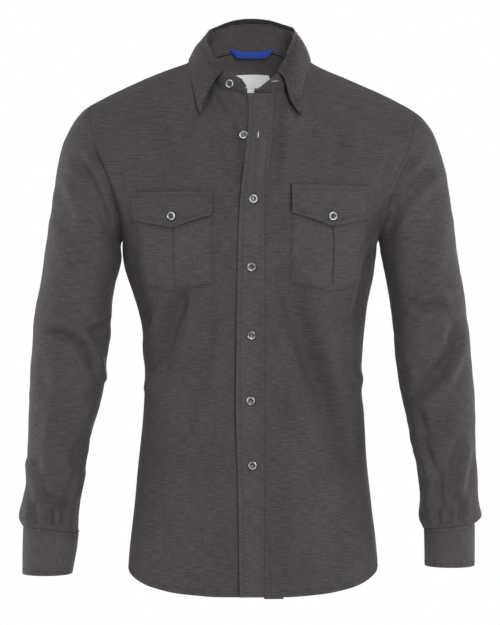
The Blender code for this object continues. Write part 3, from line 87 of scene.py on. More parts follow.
# %% [markdown]
# The studio is a pale floor well below the hem and big soft lamps. The main lamp stands a
# little to the right, because the picture's right half is slightly the brighter one.

# %% Floor, sky and lamps
def new_finish(name):
    """A new finish, its node tree and its shader."""
    finish = bpy.data.materials.new(name)
    finish.use_nodes = True
    return finish, finish.node_tree, finish.node_tree.nodes["Principled BSDF"]


scene.view_settings.view_transform = "Standard"
FLOOR_HEIGHT = -1.42
bpy.ops.mesh.primitive_plane_add(size=6.4, location=(0.0, 0.0, FLOOR_HEIGHT))
floor = bpy.context.object
floor.name = "studio_floor"
floor_finish, floor_tree, floor_shader = new_finish("floor_paint")
floor_shader.inputs["Base Color"].default_value = (0.9, 0.9, 0.9, 1.0)
floor_shader.inputs["Roughness"].default_value = 0.9
floor_speckle = floor_tree.nodes.new("ShaderNodeTexNoise")
floor_speckle.inputs["Scale"].default_value = 3.0
floor_tones = floor_tree.nodes.new("ShaderNodeMapRange")
floor_tones.inputs["To Min"].default_value = 0.86
floor_tones.inputs["To Max"].default_value = 0.92
floor_tree.links.new(floor_speckle.outputs["Fac"], floor_tones.inputs["Value"])
floor_tree.links.new(floor_tones.outputs["Result"], floor_shader.inputs["Base Color"])
floor.data.materials.append(floor_finish)

SKY_LIGHT = 0.36
sky = bpy.data.worlds.new("studio_air")
scene.world = sky
sky.use_nodes = True
sky_nodes = sky.node_tree.nodes
sky_links = sky.node_tree.links
sky_shader = sky_nodes["Background"]
sky_path = sky_nodes.new("ShaderNodeLightPath")
sky_level = sky_nodes.new("ShaderNodeMapRange")
sky_level.inputs["To Min"].default_value = SKY_LIGHT
sky_level.inputs["To Max"].default_value = 1.0
sky_links.new(sky_path.outputs["Is Camera Ray"], sky_level.inputs["Value"])
sky_links.new(sky_level.outputs["Result"], sky_shader.inputs["Strength"])
sky_shader.inputs["Color"].default_value = (1.0, 1.0, 1.0, 1.0)


def soft_lamp(name, place, aim, size, power):
    """A square lamp at place that looks at aim."""
    lamp_data = bpy.data.lights.new(name, "AREA")
    lamp_data.shape = "SQUARE"
    lamp_data.size = size
    lamp_data.energy = power
    lamp = bpy.data.objects.new(name, lamp_data)
    scene.collection.objects.link(lamp)
    lamp.location = place
    lamp.rotation_euler = (Vector(aim) - Vector(place)).to_track_quat("-Z", "Y").to_euler()
    return lamp


SHIRT_MIDDLE = (0.0, 0.0, -0.34)
soft_lamp("lamp_front", (0.55, -3.3, 0.30), SHIRT_MIDDLE, 1.3, 47.0)
soft_lamp("lamp_above", (0.2, -1.7, 1.5), SHIRT_MIDDLE, 1.3, 17.5)
soft_lamp("lamp_right", (2.7, 0.7, 0.0), SHIRT_MIDDLE, 1.8, 52.0)
soft_lamp("lamp_left", (-2.7, 0.7, 0.0), SHIRT_MIDDLE, 1.8, 60.0)
soft_lamp("lamp_behind", (0.2, 3.0, 0.7), SHIRT_MIDDLE, 1.8, 50.0)

# %% [markdown]
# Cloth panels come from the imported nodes. A node is a thin closed wall of loose triangles:
# merged, its narrow rims part the outer face from the inner one, and the outer face is kept.

# %% Take the outer face of a panel
RIM_ANGLE = math.radians(52.0)
MERGE_GAP = 0.00003


def outward_from(points, kind):
    """A rough outward direction for each point of a piece, by the kind of piece."""
    out = np.zeros_like(points)
    if kind == "ahead":
        out[:, 1] = -1.0
        return out
    if kind == "body":
        middle = np.stack((np.zeros(len(points)), np.zeros(len(points)),
                           np.minimum(points[:, 2], -0.14)), axis=1)
        out = points - middle
    if kind == "neck":
        out = points - np.array((0.0, 0.012, 0.0))
        out[:, 2] = 0.0
    if kind == "tube":
        for level in np.arange(points[:, 2].min(), points[:, 2].max() + 0.01, 0.01):
            near = np.abs(points[:, 2] - level) < 0.02
            band = np.abs(points[:, 2] - level) <= 0.006
            if near.any() and band.any():
                middle = (points[near].min(axis=0) + points[near].max(axis=0)) / 2.0
                out[band] = points[band] - middle
                out[band, 2] = 0.0
    return out


def face_islands(form):
    """Groups of faces that hang together up to the sharp edges of the rims."""
    left = set(form.faces)
    islands = []
    while left:
        first = left.pop()
        island = [first]
        waiting = [first]
        while waiting:
            face = waiting.pop()
            for edge in face.edges:
                if edge.calc_face_angle(0.0) > RIM_ANGLE:
                    continue
                for other in edge.link_faces:
                    if other in left:
                        left.discard(other)
                        island.append(other)
                        waiting.append(other)
        islands.append(island)
    return islands


def outer_face(node, name, kind):
    """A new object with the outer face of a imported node, in quads where it can be."""
    mesh = frame["nodes"][node].data.copy()
    mesh.name = name
    mesh.materials.clear()
    piece = bpy.data.objects.new(name, mesh)
    scene.collection.objects.link(piece)
    form = bmesh.new()
    form.from_mesh(mesh)
    bmesh.ops.remove_doubles(form, verts=list(form.verts), dist=MERGE_GAP)
    best = None
    best_score = -1.0e9
    for island in face_islands(form):
        middles = np.array([tuple(face.calc_center_median()) for face in island])
        normals = np.array([tuple(face.normal) for face in island])
        areas = np.array([face.calc_area() for face in island])
        away = outward_from(middles, kind)
        away /= np.maximum(np.linalg.norm(away, axis=1, keepdims=True), 1e-9)
        score = float((areas * (normals * away).sum(axis=1)).sum())
        if score > best_score:
            best_score = score
            best = island
    keep = set(best)
    bmesh.ops.delete(form, geom=[face for face in form.faces if face not in keep],
                     context="FACES")
    bmesh.ops.join_triangles(form, faces=list(form.faces), angle_face_threshold=1.2,
                             angle_shape_threshold=1.6)
    form.to_mesh(mesh)
    form.free()
    for layer in list(mesh.uv_layers):
        mesh.uv_layers.remove(layer)
    return piece


def select_only(piece):
    """Makes a piece the one that the next operator works on."""
    bpy.ops.object.select_all(action="DESELECT")
    piece.select_set(True)
    bpy.context.view_layer.objects.active = piece


def apply_modifier(piece, kind, **values):
    """Adds one modifier with its values and applies it."""
    select_only(piece)
    modifier = piece.modifiers.new(kind.lower(), kind)
    for key, value in values.items():
        setattr(modifier, key, value)
    bpy.ops.object.modifier_apply(modifier=modifier.name)
    piece.select_set(False)


CORNER_TURN = math.radians(24.0)


def keep_corners(piece):
    """Marks the outline's corners, so that making the panel fine leaves them sharp."""
    form = bmesh.new()
    form.from_mesh(piece.data)
    layer = form.verts.layers.float.get("crease_vert")
    if layer is None:
        layer = form.verts.layers.float.new("crease_vert")
    for vertex in form.verts:
        rim = [edge for edge in vertex.link_edges if edge.is_boundary]
        if len(rim) != 2:
            continue
        first = (vertex.co - rim[0].other_vert(vertex).co).normalized()
        second = (rim[1].other_vert(vertex).co - vertex.co).normalized()
        if first.dot(second) < math.cos(CORNER_TURN):
            vertex[layer] = 1.0
    form.to_mesh(piece.data)
    form.free()


def make_fine(piece, levels):
    """Rounds a panel between its points."""
    keep_corners(piece)
    apply_modifier(piece, "SUBSURF", levels=levels, render_levels=levels,
                   boundary_smooth="PRESERVE_CORNERS")


def read_points(piece):
    flat = np.empty(len(piece.data.vertices) * 3)
    piece.data.vertices.foreach_get("co", flat)
    return flat.reshape(-1, 3)


def read_normals(piece):
    flat = np.empty(len(piece.data.vertices) * 3)
    piece.data.vertex_normals.foreach_get("vector", flat)
    return flat.reshape(-1, 3)


def write_points(piece, points):
    piece.data.vertices.foreach_set("co", points.astype(np.float32).ravel())
    piece.data.update()


# %% [markdown]
# A crease is a soft trough or ridge along a short line. Its line is given in the picture's
# own columns and rows, so each crease lies where the eye sees it, on whatever panel is there.

# %% Where a point shows in the picture
PIXEL = 0.00138
MIDDLE_COLUMN = 252.0
MIDDLE_ROW = 312.0
MIDDLE_HEIGHT = -0.344


def picture_place(points):
    """Column and row of points, seen from the front."""
    nearer = VIEW_DISTANCE / (VIEW_DISTANCE + points[:, 1])
    column = MIDDLE_COLUMN + points[:, 0] / PIXEL * nearer
    row = MIDDLE_ROW - (points[:, 2] - MIDDLE_HEIGHT) / PIXEL * nearer
    return np.stack((column, row), axis=1)


def ease(low, high, values):
    """Goes softly from 0 at low to 1 at high."""
    share = np.clip((values - low) / (high - low), 0.0, 1.0)
    return share * share * (3.0 - 2.0 * share)


def bell(values):
    """1 where values are 0, falling softly on both sides."""
    return np.exp(-values ** 2)


def along_line(places, line):
    """Distance to a line of points, and how far along it the nearest spot lies."""
    line = np.array(line, dtype=float)
    lengths = np.linalg.norm(line[1:] - line[:-1], axis=1)
    total = lengths.sum()
    best = np.full(len(places), 1.0e9)
    share = np.zeros(len(places))
    passed = 0.0
    for start, end, length in zip(line[:-1], line[1:], lengths):
        step = (end - start) / length
        offset = places - start
        at = np.clip(offset @ step, 0.0, length)
        gap = np.linalg.norm(offset - at[:, None] * step, axis=1)
        nearer = gap < best
        best = np.where(nearer, gap, best)
        share = np.where(nearer, (passed + at) / total, share)
        passed += length
    return best, share


MILLIMETRE = 0.001
LIP_PLACE = 1.9
LIP_WIDTH = 0.9
LIP_SHARE = 0.32


def crease_height(places, creases):
    """Sum of all creases at places; a trough has a low lip on both sides."""
    height = np.zeros(len(places))
    for width, depth, line in creases:
        gap, share = along_line(places, line)
        fade = ease(0.0, 0.22, share) * ease(1.0, 0.78, share)
        shape = bell(gap / width)
        lip = bell((gap - LIP_PLACE * width) / (LIP_WIDTH * width))
        height += depth * fade * (shape - LIP_SHARE * lip)
    return height * MILLIMETRE


# %% Creases seen from the front
FRONT_CREASES = (
    (9.0, -6.5, ((186, 280), (178, 312), (168, 340), (153, 384))),
    (7.0, 3.6, ((172, 285), (160, 320), (150, 352))),
    (6.0, 3.4, ((146, 396), (154, 374), (166, 352))),
    (7.0, -4.0, ((128, 236), (134, 270), (146, 312), (152, 345))),
    (6.0, -3.0, ((146, 262), (156, 290), (160, 318))),
    (15.0, -9.0, ((280, 240), (296, 320), (315, 373), (336, 426), (352, 490))),
    (9.0, 4.2, ((318, 330), (330, 372), (348, 420))),
    (5.0, -3.6, ((344, 312), (348, 345), (356, 376))),
    (4.5, 3.2, ((348, 330), (353, 362), (361, 390))),
    (6.5, -4.5, ((378, 232), (369, 262), (361, 300), (352, 330))),
    (8.0, -3.0, ((215, 300), (205, 360), (190, 430))),
    (10.0, -3.4, ((150, 430), (160, 490), (158, 550))),
    (9.0, 2.4, ((185, 440), (192, 500), (190, 560))),
    (10.0, 2.6, ((290, 430), (292, 500), (298, 570))),
    (8.0, -2.4, ((270, 310), (281, 380), (284, 450))),
    (9.0, -2.6, ((330, 500), (335, 540), (330, 580))),
    (4.0, -2.4, ((117, 156), (123, 186), (127, 214), (132, 240))),
    (4.0, -2.4, ((391, 150), (385, 180), (381, 212))),
    (7.0, -2.4, ((160, 118), (168, 150), (172, 178))),
    (7.0, -2.4, ((345, 116), (338, 150), (335, 176))),
    (6.0, -3.2, ((230, 118), (236, 150), (236, 190))),
    (6.0, -2.6, ((283, 112), (277, 150), (270, 200))),
    (5.0, 2.2, ((262, 128), (262, 160), (258, 196))),
    (6.0, -2.0, ((210, 120), (222, 150), (232, 186))),
)
BACK_CREASES = (
    (9.0, -5.6, ((180, 150), (196, 230), (205, 330))),
    (9.0, -5.2, ((325, 145), (312, 225), (300, 340))),
    (8.0, 3.4, ((164, 170), (178, 240), (190, 320))),
    (8.0, 3.4, ((342, 170), (328, 240), (316, 320))),
    (11.0, -5.0, ((215, 330), (235, 400), (240, 500))),
    (11.0, -5.0, ((290, 350), (280, 430), (285, 540))),
    (7.0, -5.0, ((140, 250), (165, 300), (190, 340))),
    (7.0, -5.0, ((368, 255), (342, 300), (318, 335))),
    (7.0, -4.2, ((150, 330), (178, 348), (212, 352))),
    (7.0, -4.2, ((355, 332), (330, 350), (296, 356))),
    (6.0, 3.2, ((152, 352), (180, 366), (210, 368))),
    (6.0, 3.2, ((352, 354), (326, 368), (298, 370))),
    (6.0, -4.4, ((130, 170), (150, 200), (160, 240))),
    (6.0, -4.4, ((376, 170), (356, 200), (348, 240))),
    (11.0, -4.0, ((170, 430), (178, 500), (172, 560))),
    (11.0, -4.0, ((335, 420), (330, 500), (338, 560))),
)
SLEEVE_FRONT_CREASES = (
    (5.5, -9.0, ((88, 128), (96, 148), (104, 166), (115, 198), (123, 226), (127, 252))),
    (6.0, -6.0, ((72, 154), (84, 166), (95, 180), (105, 206), (116, 246))),
    (5.0, 4.0, ((84, 150), (98, 178), (108, 205), (117, 236))),
    (6.0, 3.6, ((60, 170), (74, 196), (88, 232))),
    (7.0, -3.4, ((58, 205), (72, 240), (90, 280))),
    (4.8, -6.6, ((38, 331), (52, 330), (66, 334), (81, 345), (92, 362), (97, 376))),
    (6.0, 3.8, ((46, 318), (64, 320), (82, 330), (98, 348))),
    (5.0, -4.4, ((112, 316), (100, 330), (86, 334))),
    (4.0, 3.6, ((97, 356), (102, 368), (105, 384))),
    (8.0, -5.0, ((76, 368), (67, 392), (66, 420), (74, 470))),
    (6.0, -3.6, ((36, 380), (50, 394), (64, 398))),
    (5.0, 3.4, ((97, 396), (91, 414), (82, 430))),
    (6.0, 3.2, ((52, 410), (46, 440), (46, 480))),
    (5.0, -4.0, ((90, 430), (80, 448), (74, 470))),
    (4.5, 4.0, ((28, 455), (32, 476), (39, 496))),
    (4.5, -5.0, ((36, 486), (48, 498), (60, 502), (74, 512))),
    (4.0, 4.2, ((84, 466), (79, 484), (75, 502))),
    (3.5, -4.6, ((66, 488), (65, 506), (62, 526))),
    (3.5, -4.0, ((34, 500), (33, 514), (35, 528))),
    (3.5, -3.6, ((50, 506), (49, 518), (51, 528))),
    (3.5, 3.4, ((58, 504), (57, 516), (57, 528))),
    (6.5, -4.8, ((440, 158), (425, 172), (412, 185), (396, 206), (387, 228), (384, 246))),
    (5.0, 3.2, ((446, 170), (428, 186), (410, 210), (396, 240))),
    (4.5, -4.8, ((420, 148), (406, 170), (396, 194), (389, 216))),
    (4.5, -3.8, ((398, 140), (393, 160), (388, 180))),
    (9.0, -4.6, ((442, 196), (433, 222), (424, 250), (410, 300))),
    (5.0, -4.6, ((410, 312), (424, 306), (438, 304), (452, 309))),
    (4.5, 4.2, ((412, 302), (424, 298), (438, 295), (453, 299))),
    (7.0, -8.0, ((457, 312), (453, 345), (439, 372), (413, 398), (404, 408))),
    (4.5, 4.8, ((463, 320), (461, 350), (449, 378), (430, 396))),
    (5.0, 3.0, ((400, 350), (410, 366), (416, 382))),
    (5.0, -5.2, ((412, 408), (422, 420), (424, 432), (417, 452))),
    (6.5, -5.2, ((454, 416), (436, 430), (426, 446), (424, 470))),
    (4.0, 4.6, ((415, 444), (424, 462), (431, 482), (428, 500), (424, 514))),
    (4.5, -4.4, ((462, 432), (455, 458), (451, 488), (455, 514))),
    (4.0, 3.6, ((470, 440), (464, 470), (460, 500))),
    (4.0, -4.2, ((442, 470), (440, 492), (444, 512))),
    (3.5, -4.8, ((462, 492), (461, 512), (458, 530))),
    (3.5, -4.0, ((436, 506), (438, 518), (438, 531))),
    (3.5, -3.6, ((448, 508), (449, 520), (447, 530))),
)
SLEEVE_BACK_CREASES = (
    (6.5, -6.6, ((100, 150), (92, 190), (88, 235))),
    (6.0, -5.4, ((120, 190), (108, 225), (98, 262))),
    (5.0, 3.6, ((110, 165), (101, 205), (95, 245))),
    (6.0, -7.0, ((108, 322), (88, 338), (60, 338), (38, 352))),
    (5.5, -5.6, ((104, 360), (84, 372), (56, 370))),
    (5.0, 4.2, ((100, 342), (80, 355), (50, 355))),
    (6.5, -4.8, ((40, 400), (56, 430), (74, 455))),
    (4.0, -4.6, ((48, 480), (50, 505), (47, 526))),
    (4.0, -4.6, ((66, 484), (63, 508), (64, 526))),
    (4.0, -4.0, ((34, 486), (36, 508), (34, 526))),
    (6.5, -6.6, ((405, 150), (412, 190), (414, 235))),
    (6.0, -5.4, ((386, 190), (398, 225), (408, 262))),
    (5.0, 3.6, ((395, 165), (405, 205), (411, 245))),
    (6.0, -7.0, ((396, 325), (414, 338), (440, 340), (462, 352))),
    (5.5, -5.6, ((400, 362), (420, 374), (448, 370))),
    (5.0, 4.2, ((402, 344), (424, 357), (452, 355))),
    (6.5, -4.8, ((462, 402), (446, 432), (428, 456))),
    (4.0, -4.6, ((452, 482), (450, 507), (453, 528))),
    (4.0, -4.6, ((436, 486), (438, 510), (436, 528))),
    (4.0, -4.0, ((466, 486), (464, 508), (466, 528))),
)


def fine_ripples(points, size, seed):
    """Uneven small waves over the cloth, about size metres across."""
    shift = Vector((seed * 3.1, seed * 1.7, seed * 2.3))
    values = np.empty(len(points))
    scale = 1.0 / size
    for index, point in enumerate(points):
        spot = Vector(point) * scale + shift
        values[index] = noise.noise(spot)
    return values


FRONT_STRENGTH = 1.5
BODY_WAVE = 0.0011
BODY_RIPPLE = 0.00035
SLEEVE_WAVE = 0.0017
SLEEVE_RIPPLE = 0.0005


def body_folds(points):
    """Height of the body's creases at points, the same on every panel that meets there."""
    places = picture_place(points)
    ahead = ease(0.02, -0.03, points[:, 1])
    folds = crease_height(places, FRONT_CREASES) * FRONT_STRENGTH * ahead
    folds += crease_height(places, BACK_CREASES) * (1.0 - ahead)
    wide = fine_ripples(points * np.array((1.0, 1.0, 0.45)), 0.045, 3)
    small = fine_ripples(points * np.array((1.0, 1.0, 0.6)), 0.018, 7)
    return folds + wide * BODY_WAVE + small * BODY_RIPPLE


def sleeve_folds(points):
    """Height of the sleeves' creases at points."""
    places = picture_place(points)
    ahead = ease(0.02, -0.02, points[:, 1] - 0.004)
    folds = crease_height(places, SLEEVE_FRONT_CREASES) * ahead
    folds += crease_height(places, SLEEVE_BACK_CREASES) * (1.0 - ahead)
    wide = fine_ripples(points * np.array((1.0, 1.0, 0.7)), 0.036, 5)
    small = fine_ripples(points * np.array((0.9, 0.9, 0.9)), 0.016, 9)
    return folds + wide * SLEEVE_WAVE + small * SLEEVE_RIPPLE


# %% [markdown]
# Seams are drawn by distance: every point of a panel keeps its gap to the panel's outline.
# The finish reads that gap for its stitched groove, darkened with painted shade, and the thread
# follows a line of one gap.

# %% Gap to the outline
def outline_segments(piece, choose=None):
    mesh = piece.data
    points = read_points(piece)
    counts = {}
    for polygon in mesh.polygons:
        for key in polygon.edge_keys:
            counts[key] = counts.get(key, 0) + 1
    keys = np.array([key for key, number in counts.items() if number == 1])
    starts = points[keys[:, 0]]
    ends = points[keys[:, 1]]
    if choose is not None:
        middles = (starts + ends) / 2.0
        wanted = np.array([bool(choose(*middle)) for middle in middles])
        starts = starts[wanted]
        ends = ends[wanted]
    return starts, ends


def gap_to(points, starts, ends):
    """Shortest distance from points to any of the outline's pieces."""
    best = np.full(len(points), 0.06 ** 2)
    for start, end in zip(starts, ends):
        low = np.minimum(start, end) - 0.05
        high = np.maximum(start, end) + 0.05
        near = np.nonzero(((points > low) & (points < high)).all(axis=1))[0]
        if not len(near):
            continue
        line = end - start
        size = float(line @ line)
        if size < 1e-14:
            continue
        offset = points[near] - start
        at = np.clip(offset @ line / size, 0.0, 1.0)
        miss = offset - at[:, None] * line
        best[near] = np.minimum(best[near], (miss * miss).sum(axis=1))
    return np.sqrt(best)


def store_gap(piece, gaps, name="edge_gap"):
    attribute = piece.data.attributes.new(name, "FLOAT", "POINT")
    attribute.data.foreach_set("value", gaps.astype(np.float32))


# %% Painted shade: dark lines where one layer lies on another, under the arms and in creases
PLACKET_TOP = ((246, 94), (249.5, 106), (248.6, 125), (243, 165))
PLACKET_MIDDLE = ((243, 165), (240, 200), (238.6, 260), (236, 350), (235.4, 415), (237, 450))
PLACKET_FOOT = ((237, 450), (238.2, 500), (239.4, 597))
PLACKET_SEWN = ((274.6, 94), (275, 110), (271, 135), (265.5, 162), (264, 300), (264, 597))
LEAF_SHADE = ((277.5, 69), (283, 78), (286, 92), (290, 102), (300, 113.5))
ARMPIT_RIGHT = ((112, 190), (119, 215), (123, 240), (123.5, 260))
ARMPIT_LEFT = ((390, 212), (384, 226), (379, 242))
# Painted shade: each entry gives a width in picture pixels, a darkness and a line. Each darkens
# the cloth's colour along its line: under the placket's free edge, the collar leaf and the flaps,
# along the sewn placket edge and the pleats, in the armpits, along the body's sides and in some
# creases.
PAINTED_SHADE_LINES = {
    "front_right": (
        (1.4, 0.35, PLACKET_TOP), (1.5, 0.62, PLACKET_MIDDLE), (1.3, 0.45, PLACKET_FOOT),
        (1.2, 0.50, ((133, 219.5), (133.5, 222))), (1.0, 0.22, ((212.5, 192), (212.5, 214))),
        (0.9, 0.15, ((231.4, 94), (233.2, 117), (241.2, 153))),
        (2.4, 0.16, ((217, 96), (226, 110))), (1.6, 0.30, ((213, 88), (204, 112))),
        (1.0, 0.32, ((188.5, 64), (193.5, 90), (199, 113))), (3.0, 0.45, ARMPIT_RIGHT),
        (7.0, 0.14, ((133, 268), (144, 317), (147, 350))),
    ),
    "front_left": (
        (0.9, 0.20, PLACKET_SEWN), (1.3, 0.60, ((291, 184), (291, 210.5))),
        (1.9, 0.80, LEAF_SHADE), (2.0, 0.35, ARMPIT_LEFT),
        (8.0, 0.12, ((303, 312), (317, 356), (333, 408), (345, 464), (351, 510))),
        (5.0, 0.15, ((286, 96), (280, 120), (272, 150))),
    ),
    "front_placket": ((0.9, 0.20, PLACKET_SEWN),),
    "collar_stand": (
        (1.9, 0.80, LEAF_SHADE), (8.0, 0.26, ((214, 84), (236, 85))),
        (8.0, 0.22, ((264, 88), (284, 82))), (1.2, 0.45, ((223, 70), (217, 79), (212, 90))),
    ),
    "pocket_right": (
        (1.2, 0.58, ((131, 219.5), (172, 226.2), (213, 214))),
        (0.8, 0.28, ((172.5, 227), (174.5, 290))),
    ),
    "pocket_left": (
        (1.3, 0.66, ((290, 210.5), (333, 223.7), (371, 212.5))),
        (0.9, 0.50, ((332, 224), (334, 240), (332.5, 282))),
    ),
    "sleeve_right": (
        (3.0, 0.45, ARMPIT_RIGHT), (1.5, 0.20, ((44, 331), (63, 332), (80.5, 345), (93, 366))),
    ),
    "sleeve_left": (
        (2.0, 0.35, ARMPIT_LEFT), (3.0, 0.12, ((456, 320), (452, 348), (440, 374), (412, 399))),
    ),
}
BUTTON_HOSTS = {
    "button_collar": "collar_stand", "button_front_1": "front_right",
    "button_flap_right": "pocket_flap_right", "button_flap_left": "pocket_flap_left",
}


def button_shadow_rings(node):
    """A thin ring of painted shadow round each button that lies on a panel."""
    rings = []
    for button, thing in frame["nodes"].items():
        if not button.startswith("button") or "cuff" in button:
            continue
        if BUTTON_HOSTS.get(button, "front_placket") != node:
            continue
        low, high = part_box(button)
        middle = picture_place(np.array([[(low[0] + high[0]) / 2.0, low[1],
                                          (low[2] + high[2]) / 2.0]]))[0]
        turns = np.linspace(0.0, 2.0 * math.pi, 13)
        rings.append((1.1, 0.55, [(middle[0] + 4.4 * math.cos(turn) + 0.2,
                                   middle[1] + 4.4 * math.sin(turn) + 0.5) for turn in turns]))
    return tuple(rings)


def store_painted_shade(piece, node, points):
    """Signed gap to the nearest painted shade line over its width, and how dark that painted shade
    is.
    """
    lines = PAINTED_SHADE_LINES.get(node, ()) + button_shadow_rings(node)
    if not lines:
        return
    places = picture_place(points)
    nearest = np.full(len(points), 30.0)
    gap = np.full(len(points), 30.0)
    depth = np.zeros(len(points))
    for width, strength, line in lines:
        corners = np.array(line, dtype=float)
        for start, end in zip(corners[:-1], corners[1:]):
            way = end - start
            size = np.linalg.norm(way)
            offset = places - start
            share = np.clip(offset @ way / (size * size), 0.0, 1.0)
            miss = offset - share[:, None] * way
            far = np.linalg.norm(miss, axis=1) / width
            beyond = np.abs(miss @ way) / size / width
            side = np.where(way[0] * offset[:, 1] - way[1] * offset[:, 0] < 0.0, -1.0, 1.0)
            nearer = far < nearest
            nearest = np.where(nearer, far, nearest)
            gap = np.where(nearer, far * side, gap)
            depth = np.where(nearer, strength * bell(beyond), depth)
    depth *= (nearest < 3.2) * ease(0.03, 0.0, points[:, 1])
    store_gap(piece, gap, "shade_line_gap")
    store_gap(piece, depth, "painted_shade_depth")


# %% [markdown]
# The cloth's pattern follows its own threads: across and along each panel, in metres.

# %% Grain of each panel
def grain_body(points):
    turn = np.arctan2(points[:, 0], -points[:, 1]) * 0.155
    return turn, points[:, 2].copy()


def grain_yoke(points):
    ahead = points[:, 1] < 0.012
    along = np.where(ahead, points[:, 1] + points[:, 2], points[:, 1] - points[:, 2])
    return points[:, 0].copy(), along


def grain_sleeve(points):
    side = np.sign(points[:, 0].mean())
    centre = 0.005
    middles = np.interp(-points[:, 2], (0.10, 0.25, 0.40, 0.66), (0.205, 0.235, 0.255, 0.275))
    turn = np.arctan2(points[:, 0] * side - middles, -(points[:, 1] - centre)) * 0.062
    return turn, points[:, 2] * 0.985 - points[:, 0] * side * 0.17


def grain_upright(points):
    turn = np.arctan2(points[:, 0] - points[:, 0].mean(), -(points[:, 1] - points[:, 1].mean()))
    return points[:, 2].copy(), turn * 0.05


def grain_collar(points):
    turn = np.arctan2(points[:, 0], -(points[:, 1] - 0.02)) * 0.075
    return turn, points[:, 2].copy()


def grain_collar_upright(points):
    across, along = grain_collar(points)
    return along, across


def grain_ahead(points):
    return points[:, 0].copy(), points[:, 2].copy()


def store_grain(piece, across, along):
    layer = piece.data.uv_layers.new(name="grain")
    corner = np.empty(len(piece.data.loops), dtype=np.int32)
    piece.data.loops.foreach_get("vertex_index", corner)
    pairs = np.stack((across[corner], along[corner]), axis=1)
    layer.data.foreach_set("uv", pairs.astype(np.float32).ravel())


# %% [markdown]
# The cloth's finish is a charcoal melange: light and dark fibres are spun together, so
# long thin streaks run with the weft, over a fine diagonal twill.

# %% Shader helpers
def new_group(name, inputs, outputs):
    group = bpy.data.node_groups.new(name, "ShaderNodeTree")
    for label, kind, value in inputs:
        socket = group.interface.new_socket(label, in_out="INPUT", socket_type=kind)
        if value is not None:
            socket.default_value = value
    for label, kind in outputs:
        group.interface.new_socket(label, in_out="OUTPUT", socket_type=kind)
    source = group.nodes.new("NodeGroupInput")
    target = group.nodes.new("NodeGroupOutput")
    return group, source, target


def set_input(tree, socket, value):
    if isinstance(value, bpy.types.NodeSocket):
        tree.links.new(value, socket)
    elif value is not None:
        socket.default_value = value


def calc(tree, operation, first, second=None, third=None, clamp=False):
    box = tree.nodes.new("ShaderNodeMath")
    box.operation = operation
    box.use_clamp = clamp
    for socket, value in zip(box.inputs, (first, second, third)):
        set_input(tree, socket, value)
    return box.outputs[0]


def stretched(tree, vector, scale):
    box = tree.nodes.new("ShaderNodeMapping")
    set_input(tree, box.inputs["Vector"], vector)
    box.inputs["Scale"].default_value = scale
    return box.outputs[0]


def speckle(tree, vector, scale, detail, rough=0.5):
    box = tree.nodes.new("ShaderNodeTexNoise")
    set_input(tree, box.inputs["Vector"], vector)
    box.inputs["Scale"].default_value = scale
    box.inputs["Detail"].default_value = detail
    box.inputs["Roughness"].default_value = rough
    return box.outputs["Fac"]


def blend_colours(tree, share, first, second, mode="MIX"):
    box = tree.nodes.new("ShaderNodeMix")
    box.data_type = "RGBA"
    box.blend_type = mode
    set_input(tree, box.inputs[0], share)
    set_input(tree, box.inputs[6], first)
    set_input(tree, box.inputs[7], second)
    return box.outputs[2]


def stored_value(tree, name):
    """A value that each point of the mesh has stored under a name."""
    box = tree.nodes.new("ShaderNodeAttribute")
    box.attribute_name = name
    return box.outputs["Fac"]


def add_bump(tree, shader, height, distance):
    """Turns a height into the shader's small relief."""
    bump = tree.nodes.new("ShaderNodeBump")
    bump.inputs["Distance"].default_value = distance
    tree.links.new(height, bump.inputs["Height"])
    tree.links.new(bump.outputs["Normal"], shader.inputs["Normal"])


EULER = 2.718


def soft_bell(tree, value):
    """1 where value is 0, falling softly on both sides."""
    square = calc(tree, "MULTIPLY", value, value)
    return calc(tree, "POWER", EULER, calc(tree, "MULTIPLY", square, -1.0))


# %% Melange twill
def build_melange():
    group, source, target = new_group(
        "melange_twill",
        (("Grain", "NodeSocketVector", None),
         ("Dark", "NodeSocketColor", (0.05, 0.05, 0.05, 1.0)),
         ("Light", "NodeSocketColor", (0.1, 0.1, 0.1, 1.0)),
         ("Streaks", "NodeSocketFloat", 1.0)),
        (("Color", "NodeSocketColor"), ("Roughness", "NodeSocketFloat"),
         ("Height", "NodeSocketFloat")))
    grain = source.outputs["Grain"]
    streak = speckle(group, stretched(group, grain, (62.0, 760.0, 1.0)), 1.0, 3.0, 0.6)
    slub = speckle(group, stretched(group, grain, (620.0, 75.0, 1.0)), 1.0, 2.0, 0.55)
    fleck = speckle(group, stretched(group, grain, (520.0, 900.0, 1.0)), 1.0, 1.0, 0.5)
    cloud = speckle(group, stretched(group, grain, (14.0, 14.0, 1.0)), 1.0, 2.0, 0.5)
    total = calc(group, "MULTIPLY", calc(group, "SUBTRACT", streak, 0.5), 2.5)
    total = calc(group, "MULTIPLY_ADD", calc(group, "SUBTRACT", slub, 0.5), 0.8, total)
    total = calc(group, "MULTIPLY_ADD", calc(group, "SUBTRACT", fleck, 0.5), 1.2, total)
    total = calc(group, "MULTIPLY", total, source.outputs["Streaks"])
    total = calc(group, "MULTIPLY_ADD", calc(group, "SUBTRACT", cloud, 0.5), 0.5, total)
    share = calc(group, "ADD", total, 0.5, clamp=True)
    colour = blend_colours(group, share, source.outputs["Dark"], source.outputs["Light"])
    split = group.nodes.new("ShaderNodeSeparateXYZ")
    group.links.new(grain, split.inputs[0])
    slant = calc(group, "ADD", split.outputs[0], split.outputs[1])
    rib = calc(group, "PINGPONG", calc(group, "MULTIPLY", slant, 1250.0), 0.5)
    yarn = calc(group, "PINGPONG", calc(group, "MULTIPLY", split.outputs[0], 2100.0), 0.5)
    height = calc(group, "MULTIPLY", rib, 0.00012)
    height = calc(group, "MULTIPLY_ADD", yarn, 0.00005, height)
    height = calc(group, "MULTIPLY_ADD", streak, 0.0002, height)
    rough = calc(group, "MULTIPLY_ADD", share, -0.08, 0.9)
    group.links.new(colour, target.inputs["Color"])
    group.links.new(rough, target.inputs["Roughness"])
    group.links.new(height, target.inputs["Height"])
    return group
